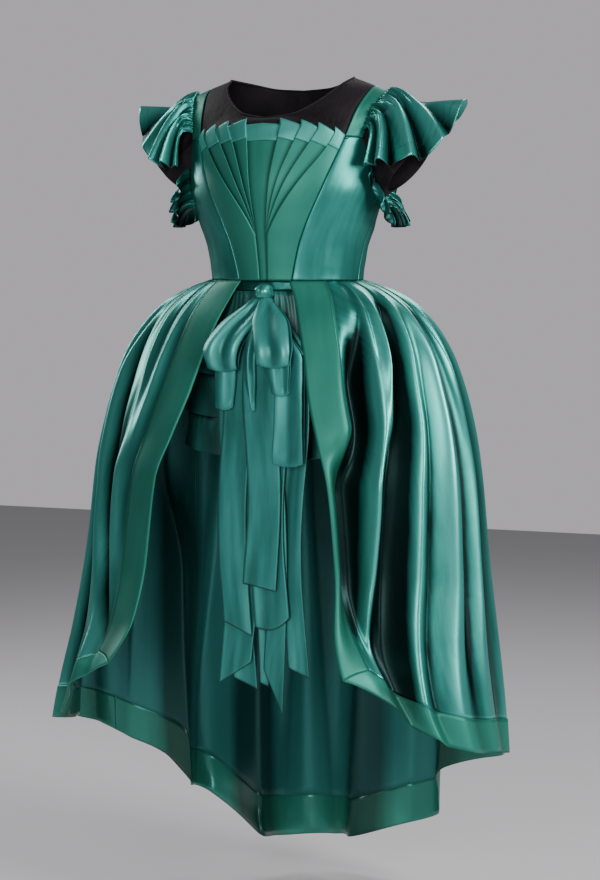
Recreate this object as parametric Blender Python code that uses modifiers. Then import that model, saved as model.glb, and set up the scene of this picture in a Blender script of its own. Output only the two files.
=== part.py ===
"""Ball gown costume, cut and sewn piece by piece as thin cloth walls.

Metres, +Z up. The wearer faces -Y, and the wearer's left is +X. The origin is the middle of
the line through the tops of the two shoulder straps.
"""

import math
from collections import namedtuple

import bmesh
import bpy
from mathutils import Vector

# Cloth
SATIN_WALL = 0.002
THIN_WALL = 0.0014
SEAM = 0.0003
BAND_WIDTH = 0.062

# Heights, measured down from the shoulder line
WAIST = 0.3566
WAISTBAND_TOP = 0.3572
WAISTBAND_END = 0.3760
SHORTS_TOP = 0.3764

# Plan angles on the bodice, in degrees from the centre front towards the side
PRINCESS_TOP = 50.0
STRAP_FRONT_OUT = 63.5
SIDE_SEAM_TOP = 88.0
STRAP_BACK_OUT = 122.6
STRAP_BACK_IN = 136.8

PLEATS = 24
PLEAT_STEPS = 4
GORES = 6
HEM_PIECES = 4
SKIRT_ROWS = (0.0, 0.035, 0.09, 0.17, 0.28, 0.41, 0.56, 0.72, 0.87, 1.0)


def steady_slope(rise_before, rise_after):
    """A slope at a row that never lets the curve swing past the rows on either side."""
    if rise_before * rise_after <= 0:
        return 0.0
    return 2 * rise_before * rise_after / (rise_before + rise_after)


def blend_rows(rows, position):
    """The row of a table at a position in its first column, on smooth curves through its rows."""
    position = min(max(position, rows[0][0]), rows[-1][0])
    i = max(k for k in range(len(rows) - 1) if rows[k][0] <= position)
    low, high = rows[i], rows[i + 1]
    before = rows[i - 1] if i > 0 else None
    after = rows[i + 2] if i + 2 < len(rows) else None
    span = high[0] - low[0]
    f = (position - low[0]) / span
    values = []
    for c, (start, end) in enumerate(zip(low, high)):
        rise = (end - start) / span
        slope_start = slope_end = rise
        if before:
            slope_start = steady_slope((start - before[c]) / (low[0] - before[0]), rise)
        if after:
            slope_end = steady_slope(rise, (after[c] - end) / (after[0] - high[0]))
        values.append(
            (2 * f**3 - 3 * f**2 + 1) * start
            + (f**3 - 2 * f**2 + f) * slope_start * span
            + (3 * f**2 - 2 * f**3) * end
            + (f**3 - f**2) * slope_end * span
        )
    return type(low)(*values)


def mix(a, b, f):
    return a + (b - a) * f


def smooth(low, high, x):
    """0 below low, 1 above high and an S curve between them."""
    f = min(max((x - low) / (high - low), 0.0), 1.0)
    return f * f * (3 - 2 * f)


def spaced(first, last, steps):
    return [mix(first, last, k / steps) for k in range(steps + 1)]


def oval(angle, half_width, front, back):
    """Plan point of an oval section; 0 degrees is the centre front and 90 the wearer's left."""
    turn = math.radians(angle)
    depth = front if math.cos(turn) > 0 else back
    return half_width * math.sin(turn), -depth * math.cos(turn)


# Building walls

collection = bpy.data.collections.new("ball_gown_costume")


def clear_scene():
    for obj in list(bpy.data.objects):
        bpy.data.objects.remove(obj, do_unlink=True)
    bpy.context.scene.collection.children.link(collection)


def cloth_material(name, colour, roughness):
    material = bpy.data.materials.new(name)
    material.use_nodes = True
    shader = material.node_tree.nodes["Principled BSDF"]
    shader.inputs["Base Color"].default_value = (*colour, 1.0)
    shader.inputs["Roughness"].default_value = roughness
    shader.inputs["Metallic"].default_value = 0.0
    return material


FINISHES = {
    "satin": ((0.031, 0.212, 0.171), 0.32),
    "matte": ((0.026, 0.262, 0.155), 0.75),
    "shorts_satin": ((0.010, 0.080, 0.058), 0.38),
    "black_mesh": ((0.011, 0.009, 0.010), 0.80),
}


def add_node(name, mesh, finish):
    obj = bpy.data.objects.new(name, mesh)
    collection.objects.link(obj)
    colour, roughness = FINISHES[finish]
    mesh.materials.append(cloth_material(name, colour, roughness))
    mesh.shade_smooth()
    mesh.set_sharp_from_angle(angle=math.radians(45))
    return obj


def normals_of(point, step=1e-4):
    """A function for the unit normal of a surface, by small steps each way."""

    def normal(u, v):
        across = point(u + step, v) - point(u - step, v)
        along = point(u, v + step) - point(u, v - step)
        return across.cross(along).normalized()

    return normal


def facing(point, side):
    """The surface's unit normal, on the side that faces a direction at the middle of the surface."""
    normal = normals_of(point)
    turned = -1 if normal(0.5, 0.5).dot(side) < 0 else 1
    return lambda u, v: turned * normal(u, v)


def add_wall(name, point, inward, columns, rows, wall, finish, closed=False, raised=None):
    """A wall of cloth: outer points from point(u, v), inner points moved in along inward(u, v).

    raised(u, v) moves the outer points out over a plain inside. Neighbours that share a parent
    surface share its inward directions too, so their rims stay parallel at a seam.
    """
    bm = bmesh.new()
    outer, inner = [], []
    for v in rows:
        outer_row, inner_row = [], []
        for u in columns:
            base = point(u, v)
            towards = inward(u, v)
            lift = raised(u, v) if raised else 0.0
            outer_row.append(bm.verts.new(base - towards * lift))
            inner_row.append(bm.verts.new(base + towards * wall))
        outer.append(outer_row)
        inner.append(inner_row)
    count = len(columns)
    cells = count if closed else count - 1
    for j in range(len(rows) - 1):
        for i in range(cells):
            k = (i + 1) % count
            bm.faces.new((outer[j][i], outer[j][k], outer[j + 1][k], outer[j + 1][i]))
            bm.faces.new((inner[j][i], inner[j + 1][i], inner[j + 1][k], inner[j][k]))
    for j in (0, len(rows) - 1):
        for i in range(cells):
            k = (i + 1) % count
            bm.faces.new((outer[j][i], inner[j][i], inner[j][k], outer[j][k]))
    if not closed:
        for i in (0, count - 1):
            for j in range(len(rows) - 1):
                bm.faces.new((outer[j][i], outer[j + 1][i], inner[j + 1][i], inner[j][i]))
    bmesh.ops.recalc_face_normals(bm, faces=bm.faces)
    if bm.calc_volume(signed=True) < 0:
        bmesh.ops.reverse_faces(bm, faces=bm.faces)
    mesh = bpy.data.meshes.new(name)
    bm.to_mesh(mesh)
    bm.free()
    return add_node(name, mesh, finish)


def on_side(side, point):
    """The same point on the wearer's left (side 1) or mirrored to the right (side -1)."""
    return Vector((side * point.x, point.y, point.z))


def mirrored(side, point):
    return lambda u, v: on_side(side, point(u, v))


SIDES = (("left", 1), ("right", -1))

# Bodice

Section = namedtuple("Section", "drop half_width front back")
BODICE = (
    Section(0.000, 0.186, 0.098, 0.085),
    Section(0.060, 0.190, 0.115, 0.100),
    Section(0.110, 0.191, 0.128, 0.110),
    Section(0.180, 0.190, 0.140, 0.112),
    Section(0.250, 0.172, 0.133, 0.108),
    Section(0.300, 0.156, 0.125, 0.103),
    Section(0.357, 0.148, 0.119, 0.099),
    Section(0.400, 0.152, 0.121, 0.102),
)

TopEdge = namedtuple("TopEdge", "angle drop")
TOP_EDGE = (
    TopEdge(0.0, 0.071),
    TopEdge(25.0, 0.077),
    TopEdge(PRINCESS_TOP, 0.092),
    TopEdge(STRAP_FRONT_OUT, 0.095),
    TopEdge(74.0, 0.158),
    TopEdge(SIDE_SEAM_TOP, 0.212),
    TopEdge(104.0, 0.203),
    TopEdge(STRAP_BACK_OUT, 0.152),
    TopEdge(STRAP_BACK_IN, 0.150),
    TopEdge(180.0, 0.150),
)

Seams = namedtuple("Seams", "drop princess side")
SEAMS = (
    Seams(0.092, PRINCESS_TOP, SIDE_SEAM_TOP),
    Seams(0.140, 43.0, 88.0),
    Seams(0.205, 34.0, 88.0),
    Seams(0.281, 26.0, 86.0),
    Seams(0.357, 20.5, 84.0),
)

FRONT_ANGLES = (50.0, 54.5, 59.0, 63.5, 66.5, 70.0, 74.0, 78.5, 83.0, 88.0)
BACK_ANGLES = (88.0, 93.0, 98.5, 104.0, 110.0, 116.5, 122.6, 129.7, 136.8, 147.0, 158.0, 169.0, 180.0)


def inward_at(point):
    """Unit direction from the bodice's surface towards the middle of the body."""
    target = Vector((0.55 * point.x, 0.01, min(point.z, -0.12)))
    return (target - point).normalized()


def bodice_point(angle, drop):
    section = blend_rows(BODICE, drop)
    x, y = oval(angle, section.half_width, section.front, section.back)
    return Vector((x, y, -drop))


def top_drop(angle):
    return blend_rows(TOP_EDGE, abs(angle)).drop


def panel_point(top_angle, v, first, last):
    """A point of the panel between two seams, by its column's angle on the top edge."""
    ends = {"princess": PRINCESS_TOP, "side": SIDE_SEAM_TOP, "centre_back": 180.0}
    shifts = []
    for seam in (first, last):
        drop = mix(top_drop(ends[seam]), WAIST, v)
        angle = getattr(blend_rows(SEAMS, drop), seam, ends[seam])
        shifts.append(angle - ends[seam])
    across = (top_angle - ends[first]) / (ends[last] - ends[first])
    angle = top_angle + mix(shifts[0], shifts[1], across)
    return bodice_point(angle, mix(top_drop(top_angle), WAIST, v))


def side_front_point(angle, v):
    return panel_point(angle, v, "princess", "side")


def back_point(angle, v):
    return panel_point(angle, v, "side", "centre_back")


def with_gaps(angles, gap_first, gap_last):
    """The same columns, with the two ends drawn in by half a seam's gap."""
    return (angles[0] + gap_first, *angles[1:-1], angles[-1] - gap_last)


BODICE_NARROWEST = 0.10
HALF_SEAM_DEGREES = math.degrees(0.5 * SEAM / BODICE_NARROWEST)


def add_bodice_sides():
    front_columns = with_gaps(FRONT_ANGLES, HALF_SEAM_DEGREES, HALF_SEAM_DEGREES)
    back_columns = with_gaps(BACK_ANGLES, HALF_SEAM_DEGREES, HALF_SEAM_DEGREES)
    panels = (
        ("side_front", side_front_point, front_columns),
        ("bodice_back", back_point, back_columns),
    )
    for panel_name, panel, columns in panels:
        for side_name, side in SIDES:
            point = mirrored(side, panel)
            add_wall(
                f"{panel_name}_{side_name}",
                point,
                lambda u, v, point=point: inward_at(point(u, v)),
                columns,
                spaced(0.0, 1.0, 8),
                SATIN_WALL,
                "satin",
            )


# Fan panel: folds run from the top edge to a narrow strip above the waist

FAN_HALF_WIDTH = 0.08
FOLD_LINES = (0.20, 0.44, 0.64, 0.85, 1.0)
FOLD_HEIGHT = 0.0016
FOLD_GATHER = 0.70
FOLD_PINCH = 0.26
FOLD_EDGE = 0.006
CUFF_DEPTH = 0.115
CUFF_GAP = 0.003
CUFF_LIFT = FOLD_HEIGHT + 0.0018
CUFF_RISE = 0.010
CUFF_SLANT = 0.016


def fan_across(w, v):
    """Where a fold line stands between the centre (0) and the princess seam (1)."""
    pinch = mix(1.0, FOLD_PINCH, min(v / FOLD_GATHER, 1.0))
    last = FOLD_LINES[-2]
    if abs(w) <= last:
        return w * pinch
    outer = mix(last * pinch, 1.0, (abs(w) - last) / (1.0 - last))
    return math.copysign(outer, w)


def fan_point(w, v):
    edge_drop = mix(top_drop(PRINCESS_TOP), WAIST, v)
    edge_angle = blend_rows(SEAMS, edge_drop).princess
    drop = mix(top_drop(PRINCESS_TOP * w), WAIST, v)
    return bodice_point(edge_angle * fan_across(w, v), drop)


def fan_lift(w, v):
    """Each fold lies under the next one towards the centre, so the surface steps down outwards."""
    width = abs(w)
    inner = 0.0
    for fold, line in enumerate(FOLD_LINES):
        if width <= line:
            slope = 0.0 if fold == 0 else (width - inner) / (line - inner)
            return FOLD_HEIGHT * (0.45 + 0.55 * slope) * (1 - 0.5 * smooth(0.75, 1.0, v))
        inner = line
    return FOLD_HEIGHT


def fan_columns():
    half = [0.1]
    for line in FOLD_LINES[:-1]:
        half += [line - FOLD_EDGE, line + FOLD_EDGE]
    for low, high in zip(FOLD_LINES, FOLD_LINES[1:]):
        half.append((low + high) / 2)
    half.append(1.0 - 0.5 * SEAM / FAN_HALF_WIDTH)
    half.sort()
    return [-w for w in reversed(half)] + [0.0] + half


def add_fan():
    add_wall(
        "front_fan",
        fan_point,
        lambda u, v: inward_at(fan_point(u, v)),
        fan_columns(),
        spaced(0.0, 1.0, 7),
        SATIN_WALL,
        "matte",
        raised=fan_lift,
    )


def cuff_slant(low, high, u):
    """Each cuff's top is highest on its side towards the centre; the middle cuff is level."""
    if low < 0 < high:
        return 0.5
    share = (u - low) / (high - low)
    return share if high <= 0 else 1.0 - share


def add_fan_cuffs():
    """One turned cuff on the head of each fold, made from the fan's own points moved out."""
    heads = [(-FOLD_LINES[0], FOLD_LINES[0])]
    for low, high in zip(FOLD_LINES, FOLD_LINES[1:]):
        heads += [(low, high), (-high, -low)]
    heads.sort()
    for number, (low, high) in enumerate(heads, start=1):

        def point(u, v, low=low, high=high):
            top = -CUFF_RISE - CUFF_SLANT * cuff_slant(low, high, u)
            base = fan_point(u, mix(top, CUFF_DEPTH, v))
            return base - inward_at(base) * CUFF_LIFT

        add_wall(
            f"fan_cuff_{number}",
            point,
            lambda u, v, point=point: inward_at(point(u, v)),
            spaced(low + CUFF_GAP, high - CUFF_GAP, 3),
            spaced(0.0, 1.0, 2),
            THIN_WALL,
            "satin",
        )


# Straps, yoke and sleeves

StrapRow = namedtuple("StrapRow", "v x_in y_in z_in x_out y_out z_out")
FRONT_IN = bodice_point(PRINCESS_TOP, top_drop(PRINCESS_TOP) - 0.0005)
FRONT_OUT = bodice_point(STRAP_FRONT_OUT, top_drop(STRAP_FRONT_OUT) - 0.0005)
BACK_IN = bodice_point(STRAP_BACK_IN, top_drop(STRAP_BACK_IN) - 0.0005)
BACK_OUT = bodice_point(STRAP_BACK_OUT, top_drop(STRAP_BACK_OUT) - 0.0005)
STRAP = (
    StrapRow(0.00, *FRONT_IN, *FRONT_OUT),
    StrapRow(0.25, 0.156, -0.042, -0.038, 0.183, -0.032, -0.047),
    StrapRow(0.50, 0.168, 0.022, 0.004, 0.199, 0.024, -0.008),
    StrapRow(0.75, 0.156, 0.075, -0.062, 0.184, 0.068, -0.070),
    StrapRow(1.00, *BACK_IN, *BACK_OUT),
)
STRAP_VALUES = (0.0, 0.08, 0.17, 0.25, 0.33, 0.41, 0.5, 0.59, 0.68, 0.77, 0.85, 0.93, 1.0)
SHOULDER_ROW = STRAP_VALUES.index(0.5)


def strap_point(w, v):
    """w runs from the neck side to the arm side, v from the front over the shoulder to the back."""
    row = blend_rows(STRAP, v)
    neck_side = Vector((row.x_in, row.y_in, row.z_in))
    arm_side = Vector((row.x_out, row.y_out, row.z_out))
    return neck_side.lerp(arm_side, w)


def add_straps():
    for side_name, side in SIDES:
        point = mirrored(side, strap_point)
        add_wall(
            f"strap_{side_name}",
            point,
            lambda u, v, point=point: inward_at(point(u, v)),
            (0.0, 0.5, 1.0),
            STRAP_VALUES,
            SATIN_WALL,
            "matte",
        )


NeckRow = namedtuple("NeckRow", "c x y z")
NECK_FRONT = (
    NeckRow(0.00, 0.000, -0.103, -0.059),
    NeckRow(0.35, 0.048, -0.093, -0.051),
    NeckRow(0.60, 0.088, -0.063, -0.026),
    NeckRow(0.85, 0.117, -0.016, 0.007),
    NeckRow(1.00, 0.125, 0.022, 0.020),
)
NECK_BACK = (
    NeckRow(0.00, 0.000, 0.082, 0.000),
    NeckRow(0.35, 0.050, 0.077, 0.003),
    NeckRow(0.65, 0.092, 0.060, 0.012),
    NeckRow(1.00, 0.125, 0.022, 0.020),
)
YOKE_GAP = 0.0005


def yoke_edge(front):
    """Points of one side's lower yoke edge, from the centre to the shoulder, just off its neighbours."""
    if front:
        low_angles = spaced(0.0, PRINCESS_TOP, 6)
        strap_rows = STRAP_VALUES[: SHOULDER_ROW + 1]
    else:
        low_angles = [180.0 - a for a in spaced(0.0, 180.0 - STRAP_BACK_IN, 4)]
        strap_rows = STRAP_VALUES[: SHOULDER_ROW - 1 : -1]
    edge = [bodice_point(a, top_drop(a) - 2 * YOKE_GAP) for a in low_angles[:-1]]
    for v in strap_rows:
        neck_side, arm_side = strap_point(0.0, v), strap_point(1.0, v)
        clear = (neck_side - arm_side).normalized() * YOKE_GAP
        edge.append(neck_side + clear)
    edge[len(low_angles) - 1].z += YOKE_GAP
    return edge


def add_yokes():
    for name, front, neck in (("yoke_front", True, NECK_FRONT), ("yoke_back", False, NECK_BACK)):
        half = yoke_edge(front)
        last = len(half) - 1
        half[last].y += -0.5 * SEAM if front else 0.5 * SEAM
        edge = [on_side(-1, p) for p in reversed(half[1:])] + half

        def point(u, v, edge=edge, neck=neck, last=last, front=front):
            c = u / last - 1
            row = blend_rows(neck, abs(c))
            at_neck = Vector((math.copysign(row.x, c), row.y, row.z))
            if abs(c) == 1:
                at_neck.y += -0.5 * SEAM if front else 0.5 * SEAM
            at = at_neck.lerp(edge[int(u)], v)
            swell = 0.006 * math.sin(math.pi * v) * (1 - c * c)
            return at - inward_at(at) * swell

        add_wall(
            name,
            point,
            lambda u, v, point=point: inward_at(point(u, v)),
            range(len(edge)),
            (0.0, 0.34, 0.67, 1.0),
            THIN_WALL,
            "black_mesh",
        )


SLEEVE_HEM_CENTRE = Vector((0.240, 0.005, -0.150))
SLEEVE_HEM_RADIUS = 0.056
SLEEVE_AXIS = Vector((0.75, 0.0, -0.66)).normalized()
SLEEVE_UP = (Vector((0, 0, 1)) - SLEEVE_AXIS * SLEEVE_AXIS.z).normalized()
SLEEVE_FRONT = SLEEVE_AXIS.cross(SLEEVE_UP)
SLEEVE_GAP = 0.0005
SLEEVE_SWELL = 0.008


def sleeve_root():
    """Rows of (place round the arm, point): over the shoulder beside the strap, then under the arm."""
    rows = []
    for v in STRAP_VALUES:
        neck_side, arm_side = strap_point(0.0, v), strap_point(1.0, v)
        away = (arm_side - neck_side).normalized() * SLEEVE_GAP
        rows.append((mix(100.0, -100.0, v), arm_side + away))
    angles = [a for a in BACK_ANGLES if a < STRAP_BACK_OUT][::-1]
    angles += [a for a in FRONT_ANGLES if a > STRAP_FRONT_OUT][-2::-1]
    for a in angles:
        panel = back_point if a >= SIDE_SEAM_TOP else side_front_point
        edge = panel(a, 0.0)
        share = (STRAP_BACK_OUT - a) / (STRAP_BACK_OUT - STRAP_FRONT_OUT)
        rows.append((mix(-100.0, -260.0, share), edge + Vector((0, 0, 2 * SLEEVE_GAP))))
    return rows


def add_sleeves():
    rows = sleeve_root()

    def point(u, v):
        turn, root = rows[int(u)]
        turn = math.radians(turn)
        rim = SLEEVE_UP * math.cos(turn) + SLEEVE_FRONT * math.sin(turn)
        hem = SLEEVE_HEM_CENTRE + rim * SLEEVE_HEM_RADIUS
        at = root.lerp(hem, v)
        return at + rim * SLEEVE_SWELL * math.sin(math.pi * v) * max(math.cos(turn), 0.0)

    def inward(u, v):
        at = point(u, v)
        along = (at - SLEEVE_HEM_CENTRE).dot(SLEEVE_AXIS)
        to_axis = (SLEEVE_HEM_CENTRE + SLEEVE_AXIS * along - at).normalized()
        return to_axis.lerp(inward_at(at), 0.7 * (1 - v)).normalized()

    for side_name, side in SIDES:
        add_wall(
            f"sleeve_{side_name}",
            mirrored(side, point),
            mirrored(side, inward),
            range(len(rows)),
            (0.0, 0.34, 0.67, 1.0),
            THIN_WALL,
            "black_mesh",
            closed=True,
        )


# Ruffles

RuffleEdge = namedtuple("RuffleEdge", "g x y z")
UPPER_EDGE = (
    RuffleEdge(0.00, 0.186, -0.090, -0.146),
    RuffleEdge(0.15, 0.215, -0.099, -0.142),
    RuffleEdge(0.30, 0.256, -0.086, -0.140),
    RuffleEdge(0.45, 0.297, -0.052, -0.126),
    RuffleEdge(0.60, 0.326, -0.010, -0.088),
    RuffleEdge(0.75, 0.342, 0.042, -0.034),
    RuffleEdge(0.88, 0.306, 0.104, -0.052),
    RuffleEdge(1.00, 0.240, 0.130, -0.100),
)
RUFFLE_WALL = 0.0018
RUFFLE_LIFT = SATIN_WALL + 0.0004
UPPER_ROOT = 0.86
UPPER_FIRST = 0.05
UPPER_LAST = 0.93
UPPER_WAVES = 8
UPPER_WAVE = 0.012
UPPER_GATHERS = 20
UPPER_SWELL = 0.030
UPPER_SPREAD = {"left": (0.98, 0.98), "right": (0.62, 0.88)}


def upper_base(g, e):
    """g runs round the shoulder from front to back, e from the strap to the free edge."""
    on_strap = strap_point(UPPER_ROOT, mix(UPPER_FIRST, UPPER_LAST, g))
    root = on_strap - inward_at(on_strap) * RUFFLE_LIFT
    row = blend_rows(UPPER_EDGE, g)
    edge = Vector((row.x, row.y, row.z))
    at = root.lerp(edge, e)
    out = Vector((0.45, 0.0, 0.9)).normalized()
    return at + out * UPPER_SWELL * math.sin(math.pi * max(e, 0.0) ** 0.8)


upper_normal = facing(upper_base, Vector((0, 0, 1)))


def upper_point(spread_front, spread_back):

    def point(g, e):
        at = upper_base(g, e)
        normal = upper_normal(g, e)
        beat = 2 * math.pi * (UPPER_WAVES * g + 0.12 * math.sin(5 * math.pi * g))
        wave = UPPER_WAVE * max(e, 0.0) ** 1.4 * (math.sin(beat) + 0.6)
        gather = 0.0008 * (1 - e) * (1 + math.sin(2 * math.pi * UPPER_GATHERS * g))
        at += normal * (wave + gather)
        root_x = strap_point(UPPER_ROOT, 0.5).x
        spread = mix(spread_front, spread_back, smooth(0.3, 0.8, g))
        at.x += (spread - 1.0) * max(at.x - root_x, 0.0)
        return at

    return point


LOWER_LIFT = 0.0012
LOWER_WAVES = 8
LOWER_WAVE = 0.007
LOWER_FIRST = 71.0
LOWER_LAST = 119.0
LOWER_TURN = 74.0
LOWER_REACH = 0.041
LOWER_FALL = 0.042


def lower_base(g, e):
    """The narrow ruffle lies on the bodice just below the armhole's edge and falls away from it."""
    angle = mix(LOWER_FIRST, LOWER_LAST, g)
    on_bodice = bodice_point(angle, top_drop(angle) + 0.006)
    root = on_bodice - inward_at(on_bodice) * LOWER_LIFT
    turn = math.radians(mix(-LOWER_TURN, LOWER_TURN, g))
    full = math.sin(math.pi * mix(0.13, 0.87, g)) ** 0.6
    out = Vector((math.cos(turn), math.sin(turn), 0.0))
    reach = out * LOWER_REACH * full * math.sin(0.5 * math.pi * e)
    fall = Vector((0, 0, -LOWER_FALL)) * full * (1 - math.cos(0.5 * math.pi * e))
    return root + reach + fall


lower_normal = facing(lower_base, Vector((1, 0, 0)))


def lower_point(g, e):
    normal = lower_normal(g, e)
    beat = 2 * math.pi * LOWER_WAVES * g
    wave = LOWER_WAVE * max(e, 0.0) ** 1.3 * (math.sin(beat) + 0.5)
    return lower_base(g, e) + normal * wave


def add_ruffles():
    for side_name, side in SIDES:
        upper = mirrored(side, upper_point(*UPPER_SPREAD[side_name]))
        add_wall(
            f"ruffle_upper_{side_name}",
            upper,
            mirrored(side, lambda g, e: -upper_normal(g, e)),
            spaced(0.0, 1.0, 40),
            (0.0, 0.12, 0.32, 0.56, 0.8, 1.0),
            RUFFLE_WALL,
            "satin",
        )
        lower = mirrored(side, lower_point)
        add_wall(
            f"ruffle_lower_{side_name}",
            lower,
            mirrored(side, lambda g, e: -lower_normal(g, e)),
            spaced(0.0, 1.0, 32),
            (0.0, 0.3, 0.65, 1.0),
            RUFFLE_WALL,
            "satin",
        )


# Waistband and shorts

SHRINK = 0.0026


def band_point(angle, drop):
    section = blend_rows(BODICE, min(drop, WAIST))
    x, y = oval(
        angle, section.half_width - SHRINK, section.front - SHRINK, section.back - SHRINK
    )
    return Vector((x, y, -drop))


def add_waistband():
    add_wall(
        "waistband",
        band_point,
        lambda u, v: inward_at(band_point(u, v)),
        spaced(0.0, 360.0, 36)[:-1],
        (WAISTBAND_TOP, WAISTBAND_END),
        SATIN_WALL,
        "satin",
        closed=True,
    )


SHORTS = (
    Section(0.3764, 0.1454, 0.1164, 0.0964),
    Section(0.4100, 0.1580, 0.1190, 0.1080),
    Section(0.4600, 0.1760, 0.1230, 0.1240),
    Section(0.5200, 0.1880, 0.1260, 0.1340),
    Section(0.5800, 0.1910, 0.1260, 0.1300),
    Section(0.7000, 0.1910, 0.1260, 0.1250),
)
CROTCH_START = 0.505
CROTCH = 0.618
LEG_CENTRE = 0.100
LEG_HALF_WIDTH = 0.0945
LEG_FRONT = 0.100
LEG_BACK = 0.104
LEG_HEM = 0.700
LEG_HEM_RISE = 0.032
TIER_FLARE = 0.009
Tier = namedtuple("Tier", "first last")
TIERS = (Tier(0.0, 0.50), Tier(0.50, 0.77), Tier(0.77, 1.0))
TIER_STEP = 0.008
SHORTS_GAP = 0.0012
SHORTS_ROWS = (
    *(0.0, 0.08, 0.2, 0.35),
    *(0.5 - TIER_STEP, 0.5 + TIER_STEP, 0.62),
    *(0.77 - TIER_STEP, 0.77 + TIER_STEP, 0.88, 1.0),
)


def leg_share(drop):
    return smooth(CROTCH_START, CROTCH, drop)


def tier_flare(v):
    for tier in TIERS:
        if v <= tier.last:
            return TIER_FLARE * ((v - tier.first) / (tier.last - tier.first)) ** 1.6
    return TIER_FLARE


def shorts_drop(u, v):
    hem = LEG_HEM - LEG_HEM_RISE * math.sin(math.pi * u) ** 2
    return mix(SHORTS_TOP, hem, v)


def shorts_base(u, drop):
    """u runs from the front seam round the outside to the back seam, on the wearer's left."""
    section = blend_rows(SHORTS, drop)
    hip_x, hip_y = oval(180.0 * u, section.half_width, section.front, section.back)
    turn = 2 * math.pi * u
    depth = LEG_FRONT if math.sin(turn) > 0 else LEG_BACK
    leg_x = LEG_CENTRE - LEG_HALF_WIDTH * math.cos(turn)
    leg_y = -depth * math.sin(turn)
    share = leg_share(drop)
    return Vector((mix(hip_x, leg_x, share) + 0.5 * SEAM, mix(hip_y, leg_y, share), -drop))


def shorts_inward(u, v):
    drop = shorts_drop(u, v)
    at = shorts_base(u, drop)
    share = leg_share(drop)
    target = Vector((mix(0.55 * at.x, LEG_CENTRE, share), 0.005, at.z))
    return (target - at).normalized()


def shorts_point(u, v):
    drop = shorts_drop(u, v)
    ease = math.sin(math.pi * min(max(u, 0.0), 1.0)) ** 0.5 if leg_share(drop) > 0 else 1.0
    return shorts_base(u, drop) - shorts_inward(u, v) * tier_flare(v) * ease


def add_shorts():
    for side_name, side in SIDES:
        add_wall(
            f"shorts_{side_name}",
            mirrored(side, shorts_point),
            mirrored(side, shorts_inward),
            spaced(SHORTS_GAP, 1.0 - SHORTS_GAP, 16),
            SHORTS_ROWS,
            SATIN_WALL,
            "shorts_satin",
        )


# Overskirt

SkirtRing = namedtuple(
    "SkirtRing", "t edge_angle half_width front back drop_front drop_side drop_back"
)
SKIRT = (
    SkirtRing(0.00, 18.8, 0.1482, 0.1192, 0.0992, 0.3572, 0.3572, 0.3572),
    SkirtRing(0.04, 19.0, 0.188, 0.130, 0.132, 0.3840, 0.3700, 0.3660),
    SkirtRing(0.10, 19.2, 0.240, 0.155, 0.178, 0.4300, 0.4000, 0.3920),
    SkirtRing(0.17, 19.8, 0.284, 0.176, 0.212, 0.4870, 0.4500, 0.4400),
    SkirtRing(0.255, 20.5, 0.322, 0.198, 0.240, 0.5500, 0.5150, 0.5200),
    SkirtRing(0.37, 23.5, 0.356, 0.228, 0.266, 0.6400, 0.6200, 0.6500),
    SkirtRing(0.48, 26.8, 0.375, 0.248, 0.286, 0.7220, 0.7200, 0.7800),
    SkirtRing(0.665, 28.2, 0.395, 0.247, 0.310, 0.8730, 0.8950, 1.0050),
    SkirtRing(0.80, 28.8, 0.412, 0.275, 0.326, 0.9830, 1.0250, 1.1900),
    SkirtRing(0.90, 32.0, 0.427, 0.318, 0.340, 1.0530, 1.1300, 1.3500),
    SkirtRing(1.00, 37.8, 0.441, 0.350, 0.352, 1.1200, 1.2250, 1.5250),
)
SKIRT_SWAY = 0.018
BAND_CALM = (-0.01, 0.035)

Train = namedtuple("Train", "round_back lowered")
TRAIN = (
    Train(0.00, 0.00),
    Train(0.08, 0.10),
    Train(0.15, 0.20),
    Train(0.27, 0.36),
    Train(0.33, 0.66),
    Train(0.42, 1.00),
    Train(0.51, 0.94),
    Train(0.64, 0.75),
    Train(0.70, 0.44),
    Train(0.77, 0.25),
    Train(1.00, 0.00),
)


def ring_length(t):
    """Length round the skirt at t, edge to edge, without its pleats."""
    ring = blend_rows(SKIRT, t)
    angles = spaced(-ring.edge_angle, ring.edge_angle - 360.0, 24)
    points = [oval(a, ring.half_width, ring.front, ring.back) for a in angles]
    return sum(math.dist(a, b) for a, b in zip(points, points[1:]))


def band_share(t):
    """The front band's width as a share of the way round at t."""
    return BAND_WIDTH / ring_length(t)


def pleat_count(p):
    """Pleats counted from the right front band, for a place p between the two bands (0 to 1)."""

    def uneven(q):
        return PLEATS * q + 0.30 * math.sin(9.0 * q) + 0.16 * math.sin(23.0 * q + 1.0)

    return PLEATS * (uneven(p) - uneven(0.0)) / (uneven(1.0) - uneven(0.0))


def pleat_places():
    """Places p at the foot, side, crest and side of every pleat, found by halving."""
    places = []
    for k in range(PLEATS * PLEAT_STEPS + 1):
        low, high = 0.0, 1.0
        while high - low > 1e-7:
            middle = (low + high) / 2
            if pleat_count(middle) < k / PLEAT_STEPS:
                low = middle
            else:
                high = middle
        places.append((low + high) / 2)
    return places


def pleat_depth(p, t):
    """Outward ripple of the gathers at the waist, growing into soft cones towards the hem."""
    waist = 0.0035 * (1 - smooth(0.0, 0.25, t))
    body = 0.022 * smooth(0.02, 0.5, t) + 0.009 * smooth(0.5, 1.0, t)
    uneven = 1 + 0.28 * math.sin(11.0 * p + 0.6) + 0.16 * math.sin(29.0 * p + 2.0)
    wave = 0.5 - 0.5 * math.cos(2 * math.pi * pleat_count(p))
    return (waist + body * uneven) * wave - 0.45 * body * smooth(0.0, 0.3, t)


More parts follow.
